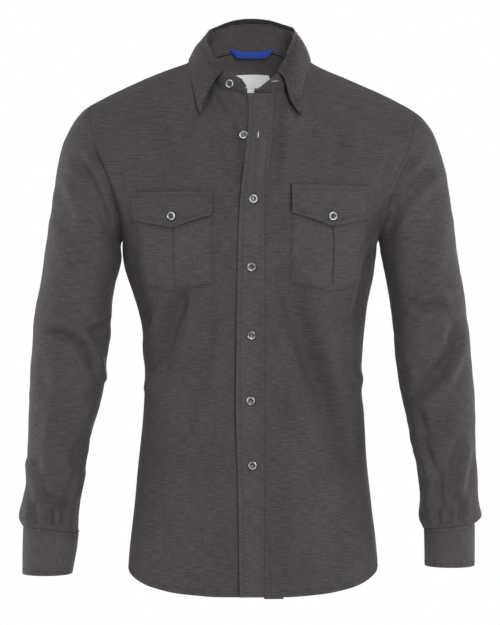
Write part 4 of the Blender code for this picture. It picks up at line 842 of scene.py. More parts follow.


# %% Stitched edge, with painted shade in its groove, on its puckers and along the shade lines
def build_stitched_edge():
    group, source, target = new_group(
        "stitched_edge",
        (("Gap", "NodeSocketFloat", 1.0),
         ("Place", "NodeSocketVector", None),
         ("Inset", "NodeSocketFloat", 0.006),
         ("Pucker", "NodeSocketFloat", 1.0),
         ("Shade Line Gap", "NodeSocketFloat", 30.0),
         ("Painted Shade Depth", "NodeSocketFloat", 0.0)),
        (("Shade", "NodeSocketFloat"), ("Height", "NodeSocketFloat")))
    gap = source.outputs["Gap"]
    off = calc(group, "SUBTRACT", gap, source.outputs["Inset"])
    near = calc(group, "DIVIDE", off, 0.0011)
    line = soft_bell(group, near)
    beyond = calc(group, "ADD", source.outputs["Inset"], 0.004)
    inside = group.nodes.new("ShaderNodeMapRange")
    inside.interpolation_type = "SMOOTHSTEP"
    group.links.new(gap, inside.inputs["Value"])
    group.links.new(source.outputs["Inset"], inside.inputs["From Min"])
    group.links.new(calc(group, "ADD", beyond, 0.004), inside.inputs["From Max"])
    inside.inputs["To Min"].default_value = 1.0
    inside.inputs["To Max"].default_value = 0.0
    waves = speckle(group, source.outputs["Place"], 150.0, 1.0, 0.4)
    waves = calc(group, "MULTIPLY", calc(group, "SUBTRACT", waves, 0.5), inside.outputs[0])
    waves = calc(group, "MULTIPLY", waves, source.outputs["Pucker"])
    height = calc(group, "MULTIPLY", line, -0.00045)
    height = calc(group, "MULTIPLY_ADD", waves, 0.0021, height)
    worn = calc(group, "POWER", EULER, calc(group, "MULTIPLY", gap, -900.0))
    # Painted shade: the cloth is darkened along the stitched groove.
    shade = calc(group, "MULTIPLY_ADD", line, -0.11, 1.0)
    shade = calc(group, "MULTIPLY_ADD", worn, 0.05, shade)
    # Painted light and shade: the puckers' colour is lighter on their rises and darker in their
    # dips.
    shade = calc(group, "MULTIPLY_ADD", waves, 0.25, shade)
    # Painted shade: the stored shade lines darken the cloth by their depth.
    under = soft_bell(group, source.outputs["Shade Line Gap"])
    under = calc(group, "MULTIPLY", under, source.outputs["Painted Shade Depth"])
    shade = calc(group, "MULTIPLY", shade, calc(group, "SUBTRACT", 1.0, under))
    group.links.new(shade, target.inputs["Shade"])
    group.links.new(height, target.inputs["Height"])
    return group


MELANGE = build_melange()
STITCHED_EDGE = build_stitched_edge()


def place_group(tree, group, **values):
    box = tree.nodes.new("ShaderNodeGroup")
    box.node_tree = group
    for key, value in values.items():
        set_input(tree, box.inputs[key], value)
    return box


def grey_mix(value, tint=(1.10, 0.985, 1.0)):
    return (value * tint[0], value * tint[1], value * tint[2], 1.0)


def shirting(name, dark, light, inset, streaks=1.0, pucker=1.0):
    """The shirt's cloth, with its own tones and its own distance from edge to stitches."""
    finish, tree, shader = new_finish(name)
    grain = tree.nodes.new("ShaderNodeUVMap")
    grain.uv_map = "grain"
    place = tree.nodes.new("ShaderNodeTexCoord")
    gap = stored_value(tree, "edge_gap")
    weave = place_group(tree, MELANGE, Grain=grain.outputs[0], Dark=grey_mix(dark),
                        Light=grey_mix(light), Streaks=streaks)
    edge = place_group(tree, STITCHED_EDGE, Gap=gap,
                       Place=place.outputs["Object"], Inset=inset, Pucker=pucker)
    for socket, name_stored in (("Shade Line Gap", "shade_line_gap"), ("Painted Shade Depth", "painted_shade_depth")):
        set_input(tree, edge.inputs[socket], stored_value(tree, name_stored))
    # The weave's colour is multiplied by the stitched edge's shade, which carries painted shade
    # and painted light.
    tone = blend_colours(tree, 1.0, weave.outputs["Color"], edge.outputs["Shade"], "MULTIPLY")
    tree.links.new(tone, shader.inputs["Base Color"])
    tree.links.new(weave.outputs["Roughness"], shader.inputs["Roughness"])
    height = calc(tree, "ADD", weave.outputs["Height"], edge.outputs["Height"])
    add_bump(tree, shader, height, 1.0)
    shader.inputs["Specular IOR Level"].default_value = 0.18
    shader.inputs["Sheen Weight"].default_value = 0.10
    shader.inputs["Sheen Roughness"].default_value = 0.35
    shader.inputs["Sheen Tint"].default_value = (0.95, 0.82, 0.76, 1.0)
    return finish


HEM_INSET = 0.0068
PLACKET_INSET = 0.0055
CUFF_INSET = 0.0050
LEAF_INSET = 0.0062
STAND_INSET = 0.0028
NARROW_INSET = 0.0022
FLAP_INSET = 0.0058
BODY_CLOTH = shirting("body_twill", 0.0385, 0.070, HEM_INSET)
SLEEVE_CLOTH = shirting("sleeve_twill", 0.042, 0.074, HEM_INSET, pucker=0.7)
PLACKET_CLOTH = shirting("placket_twill", 0.044, 0.077, PLACKET_INSET, pucker=0.6)
CUFF_CLOTH = shirting("cuff_twill", 0.045, 0.080, CUFF_INSET, streaks=0.9)
COLLAR_CLOTH = shirting("collar_twill", 0.030, 0.056, LEAF_INSET)
STAND_CLOTH = shirting("stand_twill", 0.045, 0.080, STAND_INSET)
# Painted light: the yoke's inner face has the same twill painted about twice as light, standing in
# for light inside the neck.
INNER_CLOTH_PAINTED_LIGHT = shirting("inner_twill_painted_light", 0.078, 0.138, HEM_INSET)
POCKET_CLOTH = shirting("pocket_twill", 0.042, 0.074, NARROW_INSET, pucker=0.5)
FLAP_CLOTH = shirting("flap_twill", 0.039, 0.070, FLAP_INSET, pucker=0.5)

# %% [markdown]
# Each panel: outer face, made fine, creased, given its gap and grain, then thickened
# inwards with Solidify and put in its node's place.

# %% Build one panel
CLOTH = 0.0012
STIFF = 0.0018


def finish_panel(piece, node, finish, thickness, flat, area,
                 inner=None):
    one_side = sum(polygon.area for polygon in piece.data.polygons)
    print(piece.name, "area", round(one_side, 4), "cut", round(area or flat[0] * flat[1], 4),
          "size", [round(side, 3) for side in piece.dimensions])
    piece.data.materials.append(finish)
    if inner is not None:
        piece.data.materials.append(inner)
    apply_modifier(piece, "SOLIDIFY", thickness=thickness, offset=-1.0, use_rim=True,
                   use_even_offset=False, material_offset=0 if inner is None else 1)
    select_only(piece)
    bpy.ops.object.shade_smooth_by_angle(angle=math.radians(50.0))
    piece.select_set(False)
    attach(piece, "root")
    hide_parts(node)
    print(piece.name, len(piece.data.polygons), "faces")


SEAM_GAP = 0.00030


def tuck_edge(piece, choose, reach, drop):
    """Runs a panel's edge on under its neighbour, so that no light shows in the seam."""
    form = bmesh.new()
    form.from_mesh(piece.data)
    form.normal_update()
    edges = [edge for edge in form.edges if edge.is_boundary
             and choose(*((edge.verts[0].co + edge.verts[1].co) / 2.0))]
    moves = {}
    for edge in edges:
        face = edge.link_faces[0]
        middle = (edge.verts[0].co + edge.verts[1].co) / 2.0
        line = (edge.verts[1].co - edge.verts[0].co).normalized()
        away = middle - face.calc_center_median()
        away = (away - line * away.dot(line)).normalized()
        for vertex in edge.verts:
            moves.setdefault(vertex, []).append(away)
    before = {vertex: tuple(round(value, 7) for value in vertex.co) for vertex in moves}
    made = bmesh.ops.extrude_edge_only(form, edges=edges)
    fresh = [item for item in made["geom"] if isinstance(item, bmesh.types.BMVert)]
    fresh_places = {tuple(round(value, 7) for value in vertex.co): vertex for vertex in fresh}
    for vertex, aways in moves.items():
        vertex.co += sum(aways, Vector()) / len(aways) * SEAM_GAP
    for vertex, aways in moves.items():
        twin = fresh_places.get(before[vertex])
        if twin is None:
            continue
        away = sum(aways, Vector()) / len(aways)
        twin.co = vertex.co + away * reach - vertex.normal * drop
    form.normal_update()
    form.to_mesh(piece.data)
    form.free()
    print("tucked", piece.name, len(edges))


ARM_ROWS = (241, 250, 258, 265, 280, 295, 325, 355, 385, 415, 445, 475, 505, 525, 540)
ARM_FITS = {
    "right": ((0, 1, 1.6, 2, 3, 3, 1.4, 1, 1, 0.4, 0.4, 1, 1, -1, 0),
              (0, 5.2, 6.0, 6.0, 3.5, 3.2, 4.6, 4.6, 3, 3, 2.6, 1, 2.6, 1.5, 0)),
    "left": ((0, 0, 0, -0.6, -0.6, -0.6, 0, 0, 0.6, 0.6, 0.6, 0.4, 1, 2.6, 0),
             (0, -3.6, -3.4, -3.2, -3, -3, -2.2, -3, -3, -2.2, -2.2, -3, -3, -2.4, 0)),
}
ARM_OUTER = {"right": ((240, 47), (400, 29), (540, 22)),
             "left": ((240, 455), (400, 473), (540, 476))}
ARM_INNER = {"right": ((240, 121), (280, 111), (340, 105), (400, 98), (460, 84), (540, 76)),
             "left": ((240, 379), (280, 389), (340, 396), (400, 405), (460, 418), (540, 424))}
BODY_FITS = (((241, 0), (250, -5.2), (258, -5.6), (265, -3.2), (280, -2), (296, 0)),
             ((241, 0), (250, 2.4), (265, 2), (280, 1.2), (305, 0)))


def fit_sleeve(points, word):
    """Moves a sleeve's two sides to the outline that they have on the real shirt."""
    places = picture_place(points)
    rows = places[:, 1]
    outer = np.interp(rows, *zip(*ARM_OUTER[word]))
    inner = np.interp(rows, *zip(*ARM_INNER[word]))
    share = np.clip((places[:, 0] - outer) / (inner - outer), 0.0, 1.0)
    at_outer, at_inner = (np.interp(rows, ARM_ROWS, values) for values in ARM_FITS[word])
    points[:, 0] += (at_outer + (at_inner - at_outer) * share) * PIXEL
    return lift_cuff_line(points, word)


def fit_body(points):
    """Closes the armpit from the body's side, as far as the real shirt does."""
    places = picture_place(points)
    for column, fit in zip((128.0, 373.0), BODY_FITS):
        near = bell((places[:, 0] - column) / 10.0)
        points[:, 0] += np.interp(places[:, 1], *zip(*fit)) * PIXEL * near
    return points


def warp(move, *values):
    """A shape step that moves a panel's points by one function of their place."""
    def step(piece):
        write_points(piece, move(read_points(piece), *values))
    return step


def make_panel(node, name, kind, levels, folds, grain, still=None, gaps=None, shape=None,
               tuck=None, margin=0.018):
    """The fine outer face of one panel, creased, with its gap and grain stored."""
    piece = outer_face(node, name, kind)
    if shape is not None:
        shape(piece)
    make_fine(piece, levels)
    points = read_points(piece)
    normals = read_normals(piece)
    if folds is not None:
        height = folds(points)
        if still is not None:
            starts, ends = outline_segments(piece, still)
            if len(starts):
                height = height * ease(0.0, margin, gap_to(points, starts, ends))
        points = points + normals * height[:, None]
        write_points(piece, points)
    starts, ends = outline_segments(piece, gaps)
    if tuck is not None:
        tuck_edge(piece, *tuck)
        points = read_points(piece)
    gap = gap_to(points, starts, ends) if len(starts) else np.full(len(points), 0.06)
    store_gap(piece, gap)
    across, along = grain(points)
    store_grain(piece, across, along)
    store_painted_shade(piece, node, points)
    return piece


def at_armhole(x, y, z):
    return z > -0.262 and abs(x) > 0.125


def at_hem(x, y, z):
    return z < -0.672 or (z < -0.655 and abs(x) < 0.15)


def nowhere(x, y, z):
    return False


def at_placket(x, y, z):
    return 0.0 < x < 0.042 and z < -0.046 and y < 0.0


def at_sleeve_top(x, y, z):
    return z > -0.275


def at_yoke_seams(x, y, z):
    return not at_armhole(x, y, z) and not (abs(x) < 0.075 and z > -0.052)


# %% Body panels
front_right = make_panel("front_right", "twill_front_right", "body", 3, body_folds, grain_body,
                         still=at_armhole, gaps=at_hem, shape=warp(fit_body))
front_left = make_panel("front_left", "twill_front_left", "body", 3, body_folds, grain_body,
                        still=at_armhole, gaps=at_hem, shape=warp(fit_body),
                        tuck=(at_placket, 0.0020, 0.0004))
back = make_panel("back", "twill_back", "body", 3, body_folds, grain_body, still=at_armhole,
                  gaps=at_hem, shape=warp(fit_body))
yoke = make_panel("yoke", "twill_yoke", "body", 3, body_folds, grain_yoke, still=at_armhole,
                  gaps=at_yoke_seams)


PLACKET_BOW = ((200, -0.6), (250, -0.6), (345, -2.1), (415, -2.8), (450, -1.5), (490, -0.2),
               (597, 1.0))


def bow_placket(points):
    """Swings the placket's free edge to the line that it has on the real shirt."""
    places = picture_place(points)
    rows, shifts = zip(*PLACKET_BOW)
    share = ease(264.0, 244.0, places[:, 0])
    points[:, 0] += np.interp(places[:, 1], rows, shifts) * PIXEL * share
    points[:, 1] -= 0.0010 * ease(252.0, 240.0, places[:, 0]) * ease(150.0, 175.0, places[:, 1])
    return points


placket = make_panel("front_placket", "twill_placket", "body", 3, body_folds, grain_body,
                     shape=warp(bow_placket))

# %% Sleeves
CUFF_LINES = {
    "right": (((20, 2.6), (50, 0.0), (80, -5.0)), 0.8),
    "left": (((420, 1.9), (450, 5.0), (480, 8.6)), 4.5),
}
CUFF_SEAM_ROW = 532.3
CUFF_FOOT_ROW = 573.0


def lift_cuff_line(points, word):
    """Slants the seam between sleeve and cuff, and shortens the cuff, as the shirt has it."""
    seam, foot = CUFF_LINES[word]
    places = picture_place(points)
    columns, rises = zip(*seam)
    rise = np.interp(places[:, 0], columns, rises)
    above = bell((places[:, 1] - CUFF_SEAM_ROW) / 16.0)
    down = np.clip((places[:, 1] - CUFF_SEAM_ROW) / (CUFF_FOOT_ROW - CUFF_SEAM_ROW), 0.0, 1.0)
    move = np.where(places[:, 1] < CUFF_SEAM_ROW, rise * above, rise + (foot - rise) * down)
    points[:, 2] += move * PIXEL
    return points


sleeves = {}
for word in ("right", "left"):
    sleeves[word] = make_panel("sleeve_" + word, "twill_sleeve_" + word, "tube", 3,
                               sleeve_folds, grain_sleeve,
                               still=lambda x, y, z: True, gaps=nowhere,
                               shape=warp(fit_sleeve, word), margin=0.009,
                               tuck=(at_sleeve_top, 0.0016, 0.0002))

# %% Cuffs and sleeve plackets
cuffs = {}
sleeve_plackets = {}
for word in ("right", "left"):
    cuffs[word] = make_panel("cuff_" + word, "twill_cuff_" + word, "tube", 3, None,
                             grain_upright, shape=warp(lift_cuff_line, word))
    sleeve_plackets[word] = make_panel("sleeve_placket_" + word, "twill_slit_" + word, "tube",
                                       3, None, grain_upright,
                                       shape=warp(lift_cuff_line, word))

# %% Collar
ROLL_ROWS = ((0.0030, 0.0010), (0.0056, -0.0008), (0.0054, -0.0058))
LEAF_TOP_RISE = 0.0026


def roll_leaf(piece):
    """Carries the leaf's top over a soft roll and down inside, to the stand's top seam."""
    stand_points = np.array([tuple(vertex.co) for vertex in
                             frame["nodes"]["collar_stand"].data.vertices])
    form = bmesh.new()
    form.from_mesh(piece.data)
    front = []
    for edge in form.edges:
        if not edge.is_boundary:
            continue
        middle = (edge.verts[0].co + edge.verts[1].co) / 2.0
        away = middle - edge.link_faces[0].calc_center_median()
        line = (edge.verts[1].co - edge.verts[0].co).normalized()
        flat = away - line * away.dot(line)
        near = np.linalg.norm(stand_points - np.array(middle), axis=1).min()
        if near < 0.0095 and flat.z > 0.45 * away.length:
            front.append(edge)
    print("leaf roll edges", len(front))
    counts = {}
    for edge in front:
        for vertex in edge.verts:
            counts[vertex] = counts.get(vertex, 0) + 1
    tips = [vertex.co.copy() for vertex, number in counts.items() if number == 1]
    print("leaf roll ends", [tuple(round(value, 3) for value in tip) for tip in tips])
    rows_done = Vector((0.0, 0.0, 0.0))
    for inward, lift in ROLL_ROWS:
        made = bmesh.ops.extrude_edge_only(form, edges=front)
        fresh = [item for item in made["geom"] if isinstance(item, bmesh.types.BMVert)]
        for vertex in fresh:
            away = Vector((vertex.co.x, vertex.co.y + 0.004, 0.0)).normalized()
            if vertex.co.y < -0.05:
                away = (away * 0.4 + Vector((0.0, -1.0, 0.0)) * 0.6).normalized()
            near = min((Vector((vertex.co.x, vertex.co.y, 0.0))
                        - Vector((tip.x, tip.y, 0.0))).length for tip in tips)
            full = float(ease(0.0, 0.016, np.array([near]))[0])
            vertex.co -= away * (inward - rows_done.x) * full
            vertex.co.z += (lift - rows_done.z) * full
        rows_done = Vector((inward, 0.0, lift))
        front = [item for item in made["geom"] if isinstance(item, bmesh.types.BMEdge)]
    for vertex in form.verts:
        behind = ease(0.0, 0.05, np.array([vertex.co.y]))[0]
        high = ease(0.030, 0.058, np.array([vertex.co.z]))[0]
        middle = max(0.0, 1.0 - (vertex.co.x / 0.052) ** 2)
        vertex.co.z += LEAF_TOP_RISE * behind * high * middle
    bmesh.ops.remove_doubles(form, verts=list(form.verts), dist=0.00005)
    bmesh.ops.recalc_face_normals(form, faces=list(form.faces))
    outward = sum(face.normal.dot(Vector((face.calc_center_median().x,
                                          face.calc_center_median().y, 0.0)))
                  * face.calc_area() for face in form.faces)
    if outward < 0.0:
        bmesh.ops.reverse_faces(form, faces=list(form.faces))
    form.to_mesh(piece.data)
    form.free()


LEAF_SHIFTS = {
    -1: ((28.0, 0.0), (34.0, -3.5), (42.0, -5.0), (50.0, -5.3), (58.0, -4.0), (66.0, -3.5),
         (72.0, -6.0), (78.0, -5.7), (86.0, -5.0), (98.0, -4.3), (106.0, -2.4), (113.0, 0.0)),
    1: ((30.0, 0.0), (38.0, -1.5), (46.0, -3.4), (56.0, -3.0), (62.0, -1.0), (66.0, 0.5),
        (72.0, 4.4), (77.0, 4.0), (84.0, 2.0), (96.0, -2.0), (104.0, -2.0), (109.0, -1.0),
        (113.0, 0.0)),
}
LEAF_DROPS = (((226.0, 67.0), 9.0, 2.6), ((277.0, 67.0), 9.0, 2.4))
TOP_SHIFTS = ((200.0, 5.0), (208.3, 4.2), (217.7, 2.8), (228.0, -0.1), (238.4, -1.1),
              (248.7, -1.2), (259.0, -1.0), (271.0, -0.7), (282.0, 1.2), (292.0, 1.4),
              (300.0, 0.5))


def shape_collar_top(points):
    """Follows the real collar's uneven top line, on the leaf and the stand alike."""
    places = picture_place(points)
    columns, shifts = zip(*TOP_SHIFTS)
    high = ease(0.018, 0.046, points[:, 2])
    points[:, 2] -= np.interp(places[:, 0], columns, shifts) * PIXEL * high
    return points


def shape_leaf(piece):
    """Bends the leaf's front edges to the curve they have on the real collar."""
    roll_leaf(piece)
    apply_modifier(piece, "SUBSURF", levels=1, render_levels=1,
                   boundary_smooth="PRESERVE_CORNERS")
    points = read_points(piece)
    places = picture_place(points)
    starts, ends = outline_segments(piece, lambda x, y, z: y < 0.035)
    inner_starts = []
    inner_ends = []
    for start, end in zip(starts, ends):
        line = end - start
        place = picture_place(np.array([(start + end) / 2.0]))[0]
        steep = abs(line[2]) > 0.5 * abs(line[0])
        inner = (202.0 <= place[0] <= 232.0) or (269.0 <= place[0] <= 298.0)
        if inner and 30.0 < place[1] and (steep or place[1] < 64.0):
            inner_starts.append(start)
            inner_ends.append(end)
    gap = gap_to(points, inner_starts, inner_ends)
    weight = bell(gap / 0.012) * ease(0.035, 0.005, points[:, 1])
    for side in (-1, 1):
        rows, shifts = zip(*LEAF_SHIFTS[side])
        move = np.interp(places[:, 1], rows, shifts) * PIXEL
        points[:, 0] += np.where(np.sign(points[:, 0]) == side, move * weight, 0.0)
    for middle, reach, drop in LEAF_DROPS:
        far = np.linalg.norm(places - np.array(middle), axis=1) / reach
        points[:, 2] -= drop * PIXEL * bell(far) * ease(0.02, 0.0, points[:, 1])
    write_points(piece, shape_collar_top(points))


STAND_SIDES = (
    (((30, 209), (42, 211), (50, 214), (58, 218), (66, 226)),
     ((26, 0), (34, -3.0), (42, -4.4), (50, -4.8), (58, -3.6), (66, -3.0), (74, 0))),
    (((30, 292), (46, 291), (56, 288), (66, 277)),
     ((30, 0), (38, -1.0), (46, -2.4), (56, -2.0), (64, 0))),
)


def shape_stand(points):
    """Sets the stand's sides and its two front ends to the real collar's lines."""
    places = picture_place(points)
    columns, rows = places[:, 0], places[:, 1]
    for line, shifts in STAND_SIDES:
        edge = np.interp(rows, *zip(*[(row, column) for row, column in line]))
        near = bell((columns - edge) / 11.0)
        points[:, 0] += np.interp(rows, *zip(*shifts)) * PIXEL * near
    front = ease(0.0, -0.03, points[:, 1])
    right_end = ease(250.0, 256.0, columns) * ease(300.0, 284.0, columns)
    points[:, 0] += 3.0 * PIXEL * front * right_end * ease(94.0, 84.0, rows)
    corner = np.exp(-((columns - 246.0) / 5.0) ** 2 - ((rows - 88.0) / 5.0) ** 2)
    points[:, 2] -= 1.8 * PIXEL * front * corner
    points[:, 0] += 0.8 * PIXEL * front * corner
    return shape_collar_top(points)


stand = make_panel("collar_stand", "twill_collar_stand", "neck", 3, None,
                   grain_collar_upright, shape=warp(shape_stand))
leaf = make_panel("collar_leaf", "twill_collar_leaf", "neck", 2, None, grain_collar,
                  shape=shape_leaf)

# %% Pockets and flaps
pockets = {}
flaps = {}
FLAP_DROPS = {
    "right": ((186.0, 4.6), (213.0, 2.2), (227.0, 1.6)),
    "left": ((184.0, -2.0), (200.0, -0.5), (213.0, 0.0)),
}


def drop_flap(points, word):
    """Sets a flap's own height, and lets its point stand off the pocket."""
    places = picture_place(points)
    rows, drops = zip(*FLAP_DROPS[word])
    points[:, 2] -= np.interp(places[:, 1], rows, drops) * PIXEL
    points[:, 1] -= 0.0012 * ease(195.0, 215.0, places[:, 1])
    return points


for word in ("right", "left"):
    pockets[word] = make_panel("pocket_" + word, "twill_pocket_" + word, "ahead", 3,
                               body_folds, grain_ahead)
    flaps[word] = make_panel("pocket_flap_" + word, "twill_flap_" + word, "ahead", 3,
                             body_folds, grain_ahead, shape=warp(drop_flap, word))

# %% Trims inside the neck
RIBBON_TOP = ((-0.0305, 0.0100), (-0.0265, 0.0098), (-0.0185, 0.0078), (-0.0090, 0.0068),
              (0.0, 0.0066), (0.0100, 0.0070), (0.0190, 0.0080), (0.0255, 0.0098),
              (0.0295, 0.0102))
RIBBON_LOW = ((-0.0315, 0.0088), (-0.0270, 0.0040), (-0.0215, -0.0025), (-0.0100, -0.0030),
              (0.0, -0.0032), (0.0110, -0.0030), (0.0205, -0.0024), (0.0265, 0.0038),
              (0.0305, 0.0090))


def shape_loop(piece):
    """The ribbon's own outline: two folded ends, and a flat middle that faces forward."""
    low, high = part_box("hanging_loop")
    depth = (low[1] + high[1]) / 2.0
    shift = high[2] - RIBBON_TOP[0][1]
    form = bmesh.new()
    lines = []
    for row in range(4):
        share = row / 3.0
        line = []
        for (top_x, top_z), (low_x, low_z) in zip(RIBBON_TOP, RIBBON_LOW):
            x = top_x + (low_x - top_x) * share
            z = top_z + (low_z - top_z) * share + shift
            ahead = 0.0035 * max(0.0, 1.0 - (x / 0.031) ** 2) + 0.0006 * math.sin(math.pi * share)
            line.append(form.verts.new((x, depth - ahead, z)))
        lines.append(line)
    for upper, lower in zip(lines[:-1], lines[1:]):
        for index in range(len(upper) - 1):
            form.faces.new((upper[index], lower[index], lower[index + 1], upper[index + 1]))
    form.normal_update()
    form.to_mesh(piece.data)
    form.free()


loop = make_panel("hanging_loop", "ribbon_loop", "ahead", 2, None, grain_ahead,
                  shape=shape_loop)


def widen_label(points):
    """Carries the label's right end out to where the real one passes under the collar."""
    places = picture_place(points)
    points[:, 0] += 3.2 * PIXEL * ease(250.0, 270.0, places[:, 0])
    return points


label = make_panel("neck_label", "label_neck", "ahead", 2, None, grain_ahead,
                   shape=warp(widen_label))
tab = make_panel("size_tab", "label_size", "ahead", 2, None, grain_ahead)

# %% [markdown]
# Thread: rows of short stitches that follow a line of one gap over the fine face.

# %% Rows of stitches
def level_lines(piece, values, level):
    """Lines over a panel along which values equal level."""
    points = read_points(piece)
    normals = read_normals(piece)
    spots = {}
    links = {}
    sign = values > level
    for polygon in piece.data.polygons:
        corners = polygon.vertices
        flags = [sign[corner] for corner in corners]
        if all(flags) or not any(flags):
            continue
        crossed = []
        count = len(corners)
        for index in range(count):
            first = corners[index]
            second = corners[(index + 1) % count]
            if sign[first] != sign[second]:
                key = (min(first, second), max(first, second))
                if key not in spots:
                    low, high = key
                    share = (level - values[low]) / (values[high] - values[low])
                    spots[key] = (points[low] * (1 - share) + points[high] * share,
                                  normals[low] * (1 - share) + normals[high] * share)
                crossed.append(key)
        for index in range(0, len(crossed) - 1, 2):
            links.setdefault(crossed[index], []).append(crossed[index + 1])
            links.setdefault(crossed[index + 1], []).append(crossed[index])
    lines = []
    used = set()
    starts = [key for key in links if len(links[key]) == 1] + list(links)
    for start in starts:
        if start in used:
            continue
        line = [start]
        used.add(start)
        while True:
            ahead = [key for key in links[line[-1]] if key not in used]
            if not ahead:
                break
            line.append(ahead[0])
            used.add(ahead[0])
        if len(line) > 2 and line[0] in links[line[-1]]:
            line.append(line[0])
        if len(line) > 1:
            lines.append((np.array([spots[key][0] for key in line]),
                          np.array([spots[key][1] for key in line])))
    return lines


STITCH_PITCH = 0.0030
STITCH_SHARE = 0.72
STITCH_RADIUS = 0.00027
stitch_points = []
stitch_faces = []


def add_stitch(middle, ahead, up):
    side = np.cross(ahead, up)
    half = STITCH_PITCH * STITCH_SHARE / 2.0
    base = len(stitch_points)
    middle = middle + up * 0.00012
    stitch_points.append(middle - ahead * half - up * 0.0001)
    for along in (-0.55, 0.55):
        for turn in range(4):
            angle = math.pi / 4.0 + turn * math.pi / 2.0
            stitch_points.append(middle + ahead * half * along
                                 + (side * math.cos(angle) + up * math.sin(angle)) * STITCH_RADIUS)
    stitch_points.append(middle + ahead * half - up * 0.0001)
    for turn in range(4):
        after = (turn + 1) % 4
        stitch_faces.append((base, base + 1 + turn, base + 1 + after))
        stitch_faces.append((base + 1 + turn, base + 5 + turn, base + 5 + after, base + 1 + after))
        stitch_faces.append((base + 9, base + 5 + after, base + 5 + turn))


def sew(piece, inset, edges=None, keep=None):
    """Sews a row at one gap from the chosen edges, where keep says so."""
    starts, ends = outline_segments(piece, edges)
    values = gap_to(read_points(piece), starts, ends)
    number = 0
    for points, normals in level_lines(piece, values, inset):
        steps = np.linalg.norm(points[1:] - points[:-1], axis=1)
        reach = np.concatenate(((0.0,), np.cumsum(steps)))
        if reach[-1] < STITCH_PITCH * 2.0:
            continue
        for at in np.arange(STITCH_PITCH / 2.0, reach[-1], STITCH_PITCH):
            middle = np.array([np.interp(at, reach, points[:, axis]) for axis in range(3)])
            if keep is not None and not keep(*middle):
                continue
            behind = np.array([np.interp(at - 0.001, reach, points[:, axis]) for axis in range(3)])
            before = np.array([np.interp(at + 0.001, reach, points[:, axis]) for axis in range(3)])
            up = np.array([np.interp(at, reach, normals[:, axis]) for axis in range(3)])
            up /= max(np.linalg.norm(up), 1e-9)
            ahead = before - behind
            ahead = ahead - up * (ahead @ up)
            size = np.linalg.norm(ahead)
            if size < 1e-7:
                continue
            add_stitch(middle, ahead / size, up)
            number += 1
    return number


rows = {
    "placket": sew(placket, PLACKET_INSET, keep=lambda x, y, z: z > -0.728 and x > 0.004),
    "hem_right": sew(front_right, HEM_INSET, edges=at_hem),
    "hem_left": sew(front_left, HEM_INSET, edges=at_hem),
    "hem_back": sew(back, HEM_INSET, edges=at_hem),
    "yoke": sew(yoke, NARROW_INSET, edges=at_yoke_seams),
    "leaf": sew(leaf, LEAF_INSET),
    "stand": sew(stand, STAND_INSET),
}
for word in ("right", "left"):
    rows["cuff_" + word] = sew(cuffs[word], CUFF_INSET)
    rows["pocket_" + word] = sew(pockets[word], NARROW_INSET)
    rows["flap_" + word] = sew(flaps[word], FLAP_INSET)
    rows["slit_" + word] = sew(sleeve_plackets[word], NARROW_INSET)
print("stitches", rows)

# %% Buttonholes
HOLE_HALF = 0.0068
slit_points = []
slit_faces = []


def buttonhole(panel, column, row, upright, opening):
    """A worked buttonhole: stitches across both edges, and a lens-shaped gap between them."""
    points = read_points(panel)
    normals = read_normals(panel)
    places = picture_place(points)
    off = np.linalg.norm(places - np.array((column, row)), axis=1) + (points[:, 1] > 0.0) * 99.0
    index = int(np.argmin(off))
    out = normals[index]
    ahead = np.array((0.0, 0.0, 1.0)) if upright else np.array((1.0, 0.0, 0.12))
    ahead = ahead - out * (ahead @ out)
    ahead /= np.linalg.norm(ahead)
    across = np.cross(out, ahead)
    spot = points[index].copy()
    spot[0] += (column - places[index, 0]) * PIXEL
    spot[2] -= (row - places[index, 1]) * PIXEL
    for at in np.linspace(-1.0, 1.0, 15):
        half = opening * (1.0 - at * at) / 2.0 + 0.0005
        for side in (-1.0, 1.0):
            add_stitch(spot + ahead * at * HOLE_HALF + across * side * half, across, out)
    base = len(slit_points)
    for at in np.linspace(-1.0, 1.0, 9):
        half = opening * (1.0 - at * at) / 2.0 + 0.00005
        for side in (-1.0, 1.0):
            slit_points.append(spot + ahead * at * HOLE_HALF * 0.8 + across * side * half
                               + out * 0.00035)
    for step in range(8):
        corner = base + step * 2
        slit_faces.append((corner + 2, corner + 3, corner + 1, corner))


OPEN_HOLE = 0.0016
SHUT_HOLE = 0.0002
STAND_HOLE = 0.0007
SHUT_HOLES = ((252.8, 199.5), (251.8, 267.5), (251.6, 335.5), (251.2, 401.5), (252.6, 466.0))
buttonhole(placket, 258.2, 134.5, True, OPEN_HOLE)
for column, row in SHUT_HOLES:
    buttonhole(placket, column, row, True, SHUT_HOLE)
buttonhole(stand, 275.0, 81.0, False, STAND_HOLE)

# %% Thread finish
def thread_finish(name, tone):
    finish, tree, shader = new_finish(name)
    place = tree.nodes.new("ShaderNodeTexCoord")
    twist = speckle(tree, place.outputs["Object"], 1400.0, 1.0)
    low = tuple(channel * 0.7 for channel in tone[:3]) + (1.0,)
    tree.links.new(blend_colours(tree, twist, low, tone), shader.inputs["Base Color"])
    add_bump(tree, shader, twist, 0.0001)
    shader.inputs["Roughness"].default_value = 0.6
    return finish


def add_piece(name, points, faces, finish):
    """A new piece that stands for no packed one, and rides with the shirt."""
    mesh = bpy.data.meshes.new(name)
    mesh.from_pydata([tuple(point) for point in points], [], faces)
    piece = bpy.data.objects.new(name, mesh)
    scene.collection.objects.link(piece)
    mesh.materials.append(finish)
    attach(piece, "root")
    print(name, len(faces), "faces")


THREAD = thread_finish("sewing_thread", (0.085, 0.082, 0.080, 1.0))
# A pale sheet fills each buttonhole's slit.
PALE_SLIT = thread_finish("buttonhole_pale_slit", (0.62, 0.61, 0.60, 1.0))
add_piece("sewing_rows", stitch_points, stitch_faces, THREAD)
add_piece("buttonhole_slits", slit_points, slit_faces, PALE_SLIT)
